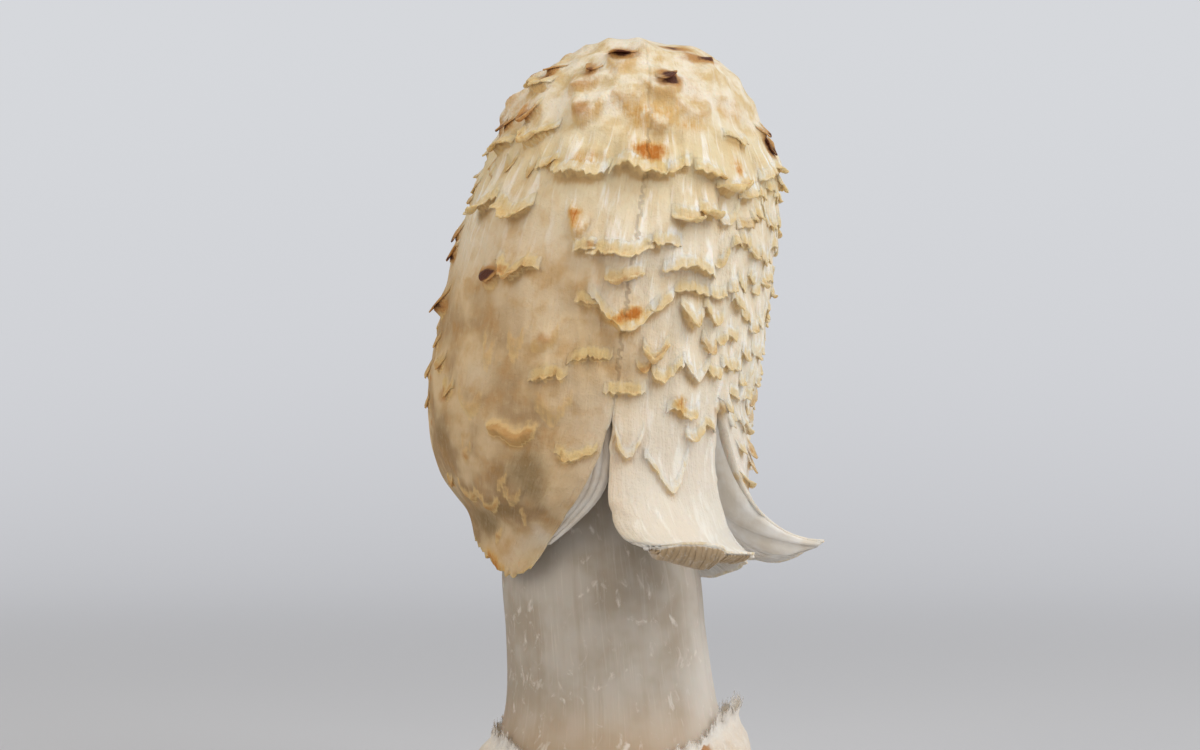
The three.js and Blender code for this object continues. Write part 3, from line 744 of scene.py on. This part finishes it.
def raise_scale(relief, row):
    """Lays one scale on the relief, where it stands higher than those already there."""
    rows = np.abs(GRID_DOWN - row["down"] + row["length"] / 2) < row["length"] / 2 + 4
    down = GRID_DOWN[rows][:, None]
    turned = (GRID_ANGLES - row["angle"] + 180) % 360 - 180
    x = np.radians(turned)[None, :] * local_radius(down)
    lift, edge = swelling(row, x, down)
    past, half, soft = down - edge, row["width"] / 2, row["soft"]
    lift = lift * ease(half + 0.5, half - 0.1, np.abs(x)) * ease(soft, -0.3 * soft, past)
    lobe = LOBES[row["lobe"]]
    own = (GRID_ANGLES - lobe["start"]) % 360 <= lobe["end"] - lobe["start"]
    lift = np.where(own[None, :] | (down <= TEAR_TOP * SKIRT_LENGTH), lift, 0)
    inside = ease(half, half * 0.6, np.abs(x))
    near_edge = (ease(-1.6, -0.1, past) + 0.4 * ease(-5.5, -0.5, past)) * inside
    tip = ease(-2.4, -0.4, past) * ease(soft, 0.1, past) * inside
    # painted shade on the skin just below the free edge, darker under scales that rise higher
    under = ease(2.6, 0.3, past) * ease(-0.4, 0.1, past) * inside * min(1, 0.7 * row["rise"])
    block = relief[:, rows]
    higher = lift > block[LIFT]
    for layer, values in ((LIFT, lift), (DRY, near_edge * row["dry"]), (BROWN, tip * row["brown"])):
        block[layer] = np.where(higher, values, block[layer])
    # the scale's own face above its edge is cleared of painted shade
    block[PAINTED_SHADE] = np.where(higher & (past < -0.2), 0, np.maximum(block[PAINTED_SHADE], under))
    relief[:, rows] = block


def relief_of(scales):
    """The relief of all the scales, with painted shade: skin that stands above the skin around it
    takes less, and skin that lies below it takes more."""
    relief = np.zeros((4, len(GRID_DOWN), len(GRID_ANGLES)))
    for row in scales:
        raise_scale(relief, row)
    around = relief[LIFT]
    for _ in range(2):
        around = np.mean([np.roll(around, step, axis=0) for step in range(-8, 9)], axis=0)
        around = np.mean([np.roll(around, step, axis=1) for step in range(-7, 8)], axis=0)
    # painted highlight on skin that stands proud of the skin around it, painted shade in the hollows
    relief[PAINTED_SHADE] -= np.clip(0.7 * (relief[LIFT] - around), -0.35, 0.7)
    return relief


chosen_scales = [scale_row(seed, *row) for seed, row in enumerate(CHOSEN_SCALES)]
all_scales = chosen_scales + grown_scales(chosen_scales)
relief = relief_of(all_scales)


def read_relief(angle, down):
    """The four layers of the relief, between the lines of the grid."""
    column = (np.asarray(angle) % 360) / GRID_TURN
    line = np.clip((down - GRID_DOWN[0]) / GRID_STEP, 0, len(GRID_DOWN) - 1.001)
    left, above = np.floor(column).astype(int), np.floor(line).astype(int)
    right, across, low = (left + 1) % len(GRID_ANGLES), column - left, line - above
    left = left % len(GRID_ANGLES)
    top = relief[:, above, left] * (1 - across) + relief[:, above, right] * across
    bottom = relief[:, above + 1, left] * (1 - across) + relief[:, above + 1, right] * across
    return top * (1 - low) + bottom * low


def swell(points, angle, down):
    """Soft swellings and strands of the skin between the scales."""
    fine = lumps(points * (1, 1, 0.16), 1.1, 2)
    pleats = 1 - 2 * np.abs(lumps(points * (1, 1, 0.24), 2.6, 9))
    ease_in = ease(DISTANCES[0], DISTANCES[0] + 5, down)
    crowded = 0.25 + 0.75 * np.minimum(1, 2.2 * crowding(angle, points[..., 2]))
    crown = ease(92, 104, points[..., 2])
    skirt = ease(60, 50, points[..., 2])
    folds = np.abs(lumps(points * (1, 1, 1.6), 4.6, 8)) - 0.35
    lumpy = (0.4 + 0.3 * crown) * lumps(points, 6.5, 1) + (0.16 + 0.2 * crown) * lumps(points, 3, 3)
    lumpy = lumpy - 1.1 * crown * folds
    pleated = 0.17 * fine + 0.36 * pleats * (1 - 0.6 * crown)
    return ease_in * (lumpy + (1 - 0.8 * skirt) * crowded * pleated)


def nominal_angle(lobe, share):
    """The compass angle of a share of a lobe's width, as it was before it tore."""
    return lobe["start"] + share * (lobe["end"] - lobe["start"])


def snapped(values, every):
    """Values of a grid's line, each taken from the nearest of every few, both ends kept."""
    picks = np.clip(np.round(np.arange(len(values)) / every).astype(int) * every, 0, len(values) - 1)
    return values[picks]


def to_margin(lobe, share, drop):
    """A drop stretched or shortened by the ragged margin of its lobe."""
    place = nominal_angle(lobe, share) * CAP_RADIUS / DEGREES_EACH
    teeth = 0.5 * lumps(np.stack([place, 0 * place], -1), 2.2)
    teeth = teeth + lobe.get("teeth", 0) * lumps(np.stack([place, 0 * place + 3], -1), 1.1)
    return drop + torn(drop) ** 4 * teeth / SKIRT_LENGTH


SKIN_CELL = 0.44
CROWN_ROWS, BAND_ROWS, SKIRT_ROWS = 117, 24, 69


def cap_sheet(lobe):
    """One lobe's outer skin, and a coarser inner face joined to it."""
    columns = int((lobe["end"] - lobe["start"]) / 360 * 2 * math.pi * CAP_RADIUS / SKIN_CELL)
    crown_rows = np.linspace(DISTANCES[0], 0, CROWN_ROWS, endpoint=False)
    line = np.concatenate([drop_at(crown_rows), np.linspace(0, TEAR_TOP, BAND_ROWS, endpoint=False),
                           np.linspace(TEAR_TOP, 1, SKIRT_ROWS)])
    across = np.linspace(0, 1, columns + 1)
    share, drop = np.meshgrid(across, line)
    down = np.interp(drop, DROPS, DISTANCES)
    angle = nominal_angle(lobe, share)
    lift, dry, brown, under = read_relief(angle, down)
    lift = lift * ease(DISTANCES[0], DISTANCES[0] + 3, down) + swell(skin(lobe, share, drop), angle, down)
    outer = skin(lobe, share, to_margin(lobe, share, drop), lift * ease(1.0, 0.97, drop))
    share_in, drop_in = np.meshgrid(snapped(across, 3), snapped(line, 3))
    inner = skin(lobe, share_in, to_margin(lobe, share_in, drop_in), -along(FLESH, drop_in) + 0.1)
    # the fibre mark's third part carries the painted shade under the scales
    fibre = np.stack([np.radians(angle) * CAP_RADIUS, down, under], -1)
    dry = np.maximum(dry, 0.45 * ease(0.975, 1, drop))
    return {"outer": outer, "inner": inner, "open_rows": CROWN_ROWS + BAND_ROWS, "top_wall": False,
            "marks": {"marks": flesh_marks(outer, dry, brown), "fibre": fibre}}


LIP_CELL, ROOT_ROWS, LIP_ROWS = 0.2, 5, 7
ROOT_DEPTH, ROOT_THICK = 0.34, 0.42


def free_lip(row):
    """The thin free lip of one scale, rooted in the swelling of the scale."""
    lobe, half = LOBES[row["lobe"]], row["width"] / 2
    columns = int(np.clip(row["width"] / LIP_CELL, 10, 54))
    x = np.linspace(-0.97 * half, 0.97 * half, columns)[None, :]
    u = x / half
    back = min(2.4, row["length"] * 0.5)
    edge, fray, sway, bundle = free_edge(row, x)
    lip = row["lip"] * (1 - row["point"] * np.abs(u) ** 0.8) * (1 - 0.7 * np.abs(u) ** 4)
    lip = lip * (1 + 0.6 * row["ragged"] * (sway + 0.5 * bundle)) + 0.22 * row["ragged"] * fray
    lip = np.maximum(lip, 0.08)
    before = np.linspace(-back, 0, ROOT_ROWS)[:, None]
    after = np.linspace(0, 1, LIP_ROWS + 1)[1:, None]
    step = lip / LIP_ROWS
    turn = (1 + 0.7 * sway + 0.4 * bundle) * (1 - 0.5 * np.abs(u) ** 3)
    tilt = np.radians(7 + row["curl"] * turn * after**1.1)
    lift = swelling(row, x + 0 * before, edge + before)[0]
    lift = lift - ROOT_DEPTH + 0.5 * ease(-back, -back * 0.3, before)
    out = np.concatenate([lift, lift[-1:] + np.cumsum(np.sin(tilt) * step, axis=0)])
    down = np.concatenate([edge + before, edge + np.cumsum(np.cos(tilt) * step, axis=0)])
    way = np.concatenate([0 * x + before, after * lip])
    lean = np.concatenate([0 * x + 0 * before + 0.1, tilt])
    thick = row["thick"] + (ROOT_THICK - row["thick"]) * ease(0, -back, way)
    turned = np.degrees(x / local_radius(down))
    span = lobe["end"] - lobe["start"]
    middle_share = ((row["angle"] - lobe["start"]) % 360) / span

    def placed(down, out):
        drop = drop_at(np.minimum(down, SKIRT_LENGTH - 0.3))
        share = middle_share + turned / span
        share = np.where(torn(drop) > 0, np.clip(share, 0.012, 0.988), share)
        return skin(lobe, share, drop, out)

    ground = swell(placed(down, 0), row["angle"] + turned, down)
    outer = placed(down, out + ground)
    inner = placed(down + thick * np.sin(lean), out + ground - thick * np.cos(lean))
    _, dry, browned, under = read_relief(row["angle"] + turned, np.minimum(down, edge - 0.35))
    dry = np.maximum(dry, row["dry"] * ease(-0.8, 0.8, way))
    browned = np.maximum(browned, row["brown"] * ease(-0.6, min(0.8, row["lip"] * 0.5), way))
    # painted shade under the lip's root, fading out along the lip
    under = under * ease(0.6, 0, way)
    fibre = np.stack([np.radians(row["angle"] + turned) * CAP_RADIUS, down, under], -1)
    return {"outer": outer, "inner": inner,
            "marks": {"marks": flesh_marks(outer, dry, browned), "fibre": fibre}}


# Points closer than this are one point, which joins the lobes above their tears.
SEAM = 0.002
SCALE_BANDS = {"scales_crown": (102, 200), "scales_upper": (86, 102), "scales_middle": (68, 86),
               "scales_lower": (0, 68)}
dressed = [sheet_piece("cap_skin", cap_flesh, [cap_sheet(lobe) for lobe in LOBES.values()], SEAM)]
for name, (low, high) in SCALE_BANDS.items():
    sheets = [free_lip(row) for row in all_scales if low <= row["height"] < high and row["lip"]]
    dressed.append(sheet_piece(name, cap_flesh, sheets))
for piece in dressed:
    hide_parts("cap")
    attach(piece, "root")

# ------------------------------------------------------------------ gills
# Some hundreds of thin plates hang side by side under the flesh, from the crown to the margin.
# They are white where they are young and pale pinkish tan at the margin.

GILL_COUNT, PLATE_ROWS, PLATE_COLUMNS = 236, 40, 4
GILL_TOP, GILL_DEPTH, GILLS_LOW = -0.56, 7.2, 0.66
PLATE_HALF, CLUMP_HALF, CLUMP_EVERY = 0.15, 0.75, 3.4


def gill_material():
    material, wire, shader, places = start_material("gill_tissue")
    tan = wire.axis(wire.mark("fibre", "Vector"), "Z")
    mottle = wire.noise(places, 0.25, 3.0)
    grain = wire.noise(places, 1.6, 3.0, 0.6, (1, 1, 0.25))
    colour = wire.layers(wire.mix(paint("f3efe8"), paint("e2d8c9"), mottle.between(0.35, 0.7)),
                         ("a88a60", tan * 0.88), ("ece5da", grain.between(0.5, 0.75) * 0.35))
    wire.feed(shader, {"Base Color": colour, "Normal": wire.bump(0.3, 0.2, grain),
                       "Roughness": 0.7 + grain * 0.15},
              {"Specular IOR Level": 0.25, "Subsurface Weight": 0.15, "Subsurface Scale": 1.2 * MM,
               "Subsurface Radius": (1, 0.8, 0.65)})
    return material


def gill_share(lobe, share, drop):
    """The share of a lobe's flesh over a place in its gills, past 0 or 1 where they have torn apart."""
    left, right = edges_of(lobe, drop, lobe["left"], lobe["right"])
    own_left, own_right = edges_of(lobe, drop, lobe.get("gill_left", lobe["left"]),
                                   lobe.get("gill_right", lobe["right"]), fray=0)
    return (own_left + (own_right - own_left) * share - left) / (right - left)


def gill_plate(lobe, plate, share, half_width, at_edge):
    """One plate, a thin sheet from the flesh inwards."""
    down, inwards = np.meshgrid(np.linspace(0, 1, PLATE_ROWS), np.linspace(0, 1, PLATE_COLUMNS),
                                indexing="ij")
    drop = GILL_TOP + (lobe["gill_end"] - GILL_TOP) * down
    depths = [(TEAR_TOP, GILL_DEPTH), (GILLS_LOW, lobe["gills"][0]), (1, lobe["gills"][1])]
    taper = 1 - (0.97 - 0.1 * at_edge) * ease(0.93 - 0.25 * at_edge, 1, down) ** 1.5
    fade = 1 - (1 - ease(0, lobe.get("gill_fade", 0.001), share)) * ease(0.6, 0.8, drop)
    depth_at = along(depths, drop) * (0.94 + 0.06 * math.sin(plate * 2.4)) * taper * fade
    depth = along(FLESH, drop) - 0.15 + (depth_at + 0.3) * inwards
    crowded = 0.2 * ease(0.75, 0.92, drop)
    half = (max(0.24 * at_edge, half_width) + crowded) * (1 - 0.5 * inwards * (1 - crowded / 0.2))
    wave = 0.12 * lumps(np.stack([drop * 12, inwards + plate * 5.3], -1), 1.0)
    per_mm = 360 / (2 * math.pi * CAP_RADIUS) / (lobe["end"] - lobe["start"])
    drop = to_margin(lobe, np.full_like(drop, share), drop)
    left, right = (skin(lobe, gill_share(lobe, share + (wave + side) * per_mm, drop), drop, -depth)
                   for side in (-half, half))
    tan = lobe["tan"] * (1 - at_edge) * ease(0.72, 0.95, drop) * ease(0.1, 0.8, inwards)
    tan = np.maximum(tan, 0.3 * (half_width == CLUMP_HALF))
    marks = np.stack([drop * SKIRT_LENGTH, depth, tan], -1)
    return {"outer": left, "inner": right, "marks": {"fibre": marks}}


def gill_plates(lobe):
    """The plates under one lobe. Where the flesh has torn back from them they lie bare, clumped into
    a few soft folds."""
    span = lobe["end"] - lobe["start"]
    bare = 1 - lobe.get("bare_gills", 0) / span
    places = np.linspace(0.006, 0.994, round(GILL_COUNT * span / 360))
    shares = [(share, PLATE_HALF) for share in places if share < bare]
    shares += [(share, CLUMP_HALF) for share in np.arange(bare, 0.994, CLUMP_EVERY / span)]
    return [gill_plate(lobe, plate, *place, plate in (0, len(shares) - 1))
            for plate, place in enumerate(shares)]


gills = sheet_piece("gill_plates", gill_material(),
                    [sheet for lobe in LOBES.values() for sheet in gill_plates(lobe)])
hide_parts("gills")
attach(gills, "root")

# ------------------------------------------------------------------ stem
# The stem is a thick, silky column of lengthwise fibres, swollen at the foot and cut off flat
# below. Pale flecks of torn veil cling to it, and it ends in a blunt point up in the crown.

STEM = [(0, 16.2), (5, 18.4), (12, 17.6), (20, 15.9), (30, 15.2), (38, 15.05), (46, 13.9), (60, 13),
        (85, 11.4), (105, 8.4), (111, 6.2)]
STEM_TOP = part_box("stem")[1][2] / MM
STEM_COLUMNS, SHOWN_ROWS, HIDDEN_ROWS = 300, 118, 24
STEM_SHOWN, STEM_SHOULDER = 58, 111
STEM_AROUND = 16  # the radius on which its relief and fibres are laid out


def stem_material():
    material, wire, shader, places = start_material("stem_flesh")
    fibre = wire.mark("fibre", "Vector")
    high, to_right = wire.axis(places, "Z"), wire.axis(places, "X")
    silk = wire.noise(fibre, 1.0, 4.0, 0.6, (2.2, 0.09, 1))
    streaks = wire.noise(fibre, 1.0, 3.0, 0.55, (0.5, 0.03, 1))
    cloud = wire.noise(places, 0.12, 3.0)
    flecks = wire.noise(fibre, 1.0, 4.0, 0.6, (0.55, 0.36, 1), 0.6)
    fleck = (flecks + cloud * 0.3).between(0.72, 0.9)
    colour = wire.layers(
        wire.mix(paint("bab1a5"), paint("a89b8a"), cloud.between(0.35, 0.65)),
        ("9f907c", streaks.between(0.5, 0.75) * 0.4), ("d6cec2", silk.between(0.52, 0.78) * 0.45),
        ("bfa485", (1 - high.between(13, 24)) * 0.55), ("e9e2d8", fleck * 0.6),
        # painted light: the lower stem paler on its right, the side towards the key lamp
        ("efe9e1", to_right.between(9, 16) * (1 - high.between(24, 40)) * 0.6))
    height = silk * 0.5 + streaks * 0.4 + fleck * 0.3
    wire.feed(shader, {"Base Color": colour, "Normal": wire.bump(0.4, 0.25, height),
                       "Roughness": 0.55 + silk * 0.2},
              {"Specular IOR Level": 0.3, "Subsurface Weight": 0.12, "Subsurface Scale": 1.5 * MM})
    return material


def stem_point(angle, height, out=0.0):
    away = along(STEM, height) + out
    return np.stack([along(MIDDLE_LINE, height) + away * np.cos(angle), away * np.sin(angle),
                     height + 0 * angle], -1)


def stem_mesh():
    heights = np.concatenate([np.linspace(0, STEM_SHOWN, SHOWN_ROWS, endpoint=False),
                              np.linspace(STEM_SHOWN, STEM_SHOULDER, HIDDEN_ROWS)])
    angle, height = np.meshgrid(np.linspace(0, 2 * math.pi, STEM_COLUMNS, endpoint=False), heights)
    flat = np.stack([np.cos(angle) * STEM_AROUND, np.sin(angle) * STEM_AROUND, height], -1)
    rib = lumps(flat / (1, 1, 9), 1.5, 1)
    swell = 0.22 * lumps(flat / (1, 1, 2.5), 7, 2) + 0.08 * rib
    swell = (swell - 0.25) * ease(0, 1.5, height)
    points = stem_point(angle, height, swell)
    rows = len(heights)
    ends = np.array([[0, 0, 0], [float(along(MIDDLE_LINE, STEM_TOP)), 0, STEM_TOP]])
    index = np.arange(rows * STEM_COLUMNS).reshape(rows, STEM_COLUMNS)
    after = np.roll(index, -1, axis=1)
    sides = np.stack([index[:-1], after[:-1], after[1:], index[1:]], -1).reshape(-1, 4).tolist()
    foot, tip = rows * STEM_COLUMNS, rows * STEM_COLUMNS + 1
    fans = [(foot, after[0, i], index[0, i]) for i in range(STEM_COLUMNS)]
    fans += [(tip, index[-1, i], after[-1, i]) for i in range(STEM_COLUMNS)]
    fibre = np.stack([angle * STEM_AROUND, height, 0 * angle], -1).reshape(-1, 3)
    mesh = smooth_mesh("stem_column", np.concatenate([points.reshape(-1, 3), ends]), sides + fans,
                       {"fibre": np.concatenate([fibre, np.zeros((2, 3))])})
    mesh.set_sharp_from_angle(angle=math.radians(50))
    return mesh


stem = piece_of(stem_mesh(), stem_material())
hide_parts("stem")
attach(stem, "root")

# ------------------------------------------------------------------ ring
# When the bell opened, its margin left a torn collar of soft cottony veil, which has slid down
# and lies loose round the swollen foot. Its upper edge is ragged, and stands off on one side.

# How high the ring's edge reaches, and how far it stands off the stem, by compass angle.
RING_TOP = [(0, 20.8), (25, 18), (70, 15.2), (125, 15.4), (180, 15.8), (212, 15), (240, 13),
            (270, 12.6), (300, 14.2), (322, 16.6), (342, 20), (360, 20.8)]
RING_STAND = [(0, 2.6), (25, 1.8), (70, 0.6), (125, 0.8), (180, 1), (212, 0.6), (240, 0.3),
              (270, 0.2), (300, 0.4), (322, 1.2), (342, 2.4), (360, 2.6)]
RING_BOTTOM, RING_BULGE, RING_THICK, RING_GAP = 4.6, 1.7, 0.8, 0.35
RING_AROUND, RING_COLUMNS, RING_ROWS = 19, 361, 44


def ring_material():
    material, wire, shader, places = start_material("ring_tissue")
    marks = wire.node("SeparateColor", None, {"Color": wire.mark("marks", "Color")})
    rim, brown, pale = marks.outputs(0, 1, 2)
    cloud = wire.noise(places, 0.2, 4.0)
    cotton = wire.noise(places, 1.4, 4.0, 0.65, (1, 1, 0.5))
    wisps = wire.noise(places, 1.6, 4.0, 0.7, (1, 1, 0.4), 1.0)
    colour = wire.layers(
        wire.mix(paint("dfd2c1"), paint("c4aa8b"), cloud.between(0.4, 0.7)),
        # painted light: ebe4da makes the upper ring paler, lifting the shade on its inner face
        ("efe8dd", cotton.between(0.5, 0.75) * 0.6), ("ebe4da", pale * 0.85),
        ("a9702c", (brown + (cotton - 0.5) * 0.6).between(0.35, 0.8) * 0.85))
    cover = 1 - (rim + (wisps - 0.5) * 1.8 * rim.between(0, 0.3)).between(0.4, 1)
    wire.feed(shader, {"Base Color": colour, "Normal": wire.bump(0.7, 0.5, cotton), "Alpha": cover,
                       "Roughness": 0.75 + cotton * 0.15},
              {"Specular IOR Level": 0.2, "Subsurface Weight": 0.4, "Subsurface Scale": 1.5 * MM,
               "Subsurface Radius": (1, 0.85, 0.7)})
    return material


def ring_sheet():
    degrees, down = np.meshgrid(np.linspace(0, 360, RING_COLUMNS), np.linspace(0, 1, RING_ROWS))
    angle = np.radians(degrees)
    round_it = np.stack([np.cos(angle) * RING_AROUND, np.sin(angle) * RING_AROUND], -1)
    torn_top = 0.6 * lumps(round_it, 0.9, 1) + 0.9 * lumps(round_it, 3.0, 2)
    top = along(RING_TOP, degrees) + torn_top
    bottom = RING_BOTTOM + 0.8 * np.sin(5 * angle) + 0.5 * lumps(round_it, 1.5, 3)
    height = top + (bottom - top) * down
    bulge = RING_BULGE * np.sin(math.pi * (0.12 + 0.8 * down))
    stand = along(RING_STAND, degrees) * (1 - down) ** 3
    places = np.stack([round_it[..., 0], round_it[..., 1], height], -1)
    fluff = 0.35 * lumps(places, 2.4, 4) + 0.16 * lumps(places, 0.9, 5)
    flare = stand * (1 + 0.5 * lumps(round_it, 2.2, 6))
    inner = RING_GAP + flare + fluff * ease(0.3, 0, down)
    outer = inner + 0.12 + (RING_THICK + bulge) * ease(0.1, 0.5, down) + fluff * ease(0, 0.1, down)
    brown = np.exp(-((degrees - 315) / 6) ** 2) * ease(0.12, 0.2, down) * ease(0.65, 0.5, down)
    rim = ease(0.2, 0, down)
    # the third mark is the painted light on the upper ring
    marks = np.stack(np.broadcast_arrays(rim, brown, ease(0.6, 0.1, down), 0), -1).astype(float)
    return {"outer": stem_point(angle, height, outer), "inner": stem_point(angle, height, inner),
            "side_walls": False, "marks": {"marks": marks}}


ring = sheet_piece("ring_collar", ring_material(), [ring_sheet()], SEAM)
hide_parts("ring")
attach(ring, "root")

# ------------------------------------------------------------------ stand and light
# A pale matt sheet lies under the mushroom and sweeps up behind it. A large soft lamp stands to
# the right and above, a weaker warm one to the left, and the room gives an even light.

SWEEP_WIDTH, SWEEP_FRONT, SWEEP_BACK, SWEEP_HEIGHT, SWEEP_BEND = 4000, 1500, 1300, 2400, 800


def sweep_mesh():
    side = [(-SWEEP_FRONT, 0)]
    for turn in np.linspace(0, math.pi / 2, 24):
        side.append((SWEEP_BACK - SWEEP_BEND + SWEEP_BEND * math.sin(turn),
                     SWEEP_BEND * (1 - math.cos(turn))))
    side.append((SWEEP_BACK, SWEEP_HEIGHT))
    points = [(x, y, z) for y, z in side for x in (-SWEEP_WIDTH / 2, SWEEP_WIDTH / 2)]
    faces = [(2 * i, 2 * i + 1, 2 * i + 3, 2 * i + 2) for i in range(len(side) - 1)]
    return smooth_mesh("sweep", np.array(points), faces)


def sweep_material():
    """Matt paper near the mushroom, and farther off a pale grey glow to whatever looks at it, darker
    towards the floor as painted shade.
    """
    material, wire, shader, places = start_material("matt_paper")
    looks = wire.node("LightPath").outputs("Is Camera Ray", "Is Glossy Ray", "Is Transmission Ray")
    seen = (looks[0] + looks[1] + looks[2]).between(0, 1)
    away = wire.node("VectorMath", {"operation": "LENGTH"}, {0: places}, "Value")
    # painted shade: the glowing grey darker towards the floor
    grey = wire.mix(paint("cbccd1"), paint("d6d8dc"), wire.axis(places, "Z").between(-100, 250))
    glow = wire.node("Emission", None, {"Strength": 1.0, "Color": grey})
    wire.feed(shader, {}, {"Base Color": paint("d0d2d7"), "Roughness": 0.9})
    paper = Wire(wire.tree, shader.outputs[0])
    mixed = wire.node("MixShader", None, {0: seen * away.between(150, 900), 1: paper, 2: glow})
    wire.tree.links.new(mixed.socket, wire.tree.nodes["Material Output"].inputs["Surface"])
    return material


sweep = piece_of(sweep_mesh(), sweep_material())


def lamp(name, place, target, size, watts, colour):
    light = bpy.data.lights.new(name, "AREA")
    light.size, light.energy, light.color = size, watts, colour
    holder = bpy.data.objects.new(name, light)
    holder.location = place
    away = np.array(place) - np.array(target)
    holder.rotation_euler = (math.acos(away[2] / np.linalg.norm(away)), 0,
                             math.atan2(away[1], away[0]) + math.pi / 2)
    bpy.context.collection.objects.link(holder)


middle = (0, 0, 0.07)
lamp("key", (0.49, -0.31, 0.5), middle, 0.6, 3.45, (1.0, 0.985, 0.965))
lamp("fill", (-0.5, -0.4, 0.4), middle, 0.5, 1.5, (1.0, 0.9, 0.77))
world = bpy.data.worlds.new("room")
bpy.context.scene.world = world
world.use_nodes = True
room = world.node_tree.nodes["Background"]
room.inputs["Color"].default_value = (1, 0.98, 0.95, 1)
room.inputs["Strength"].default_value = 0.49

# ------------------------------------------------------------------ camera
# It stands half a metre in front, a little above the middle of the mushroom, and looks level
# through a long lens, which keeps the outline true.

view = bpy.data.cameras.new("view")
view.lens, view.sensor_width = 100, 36
view.clip_start, view.clip_end = 0.01, 10
camera = bpy.data.objects.new("view", view)
camera.location = (-0.0018, -0.5, 0.06825)
camera.rotation_euler = (math.pi / 2, 0, 0)
bpy.context.collection.objects.link(camera)
bpy.context.scene.camera = camera
bpy.context.scene.view_settings.view_transform = "Standard"
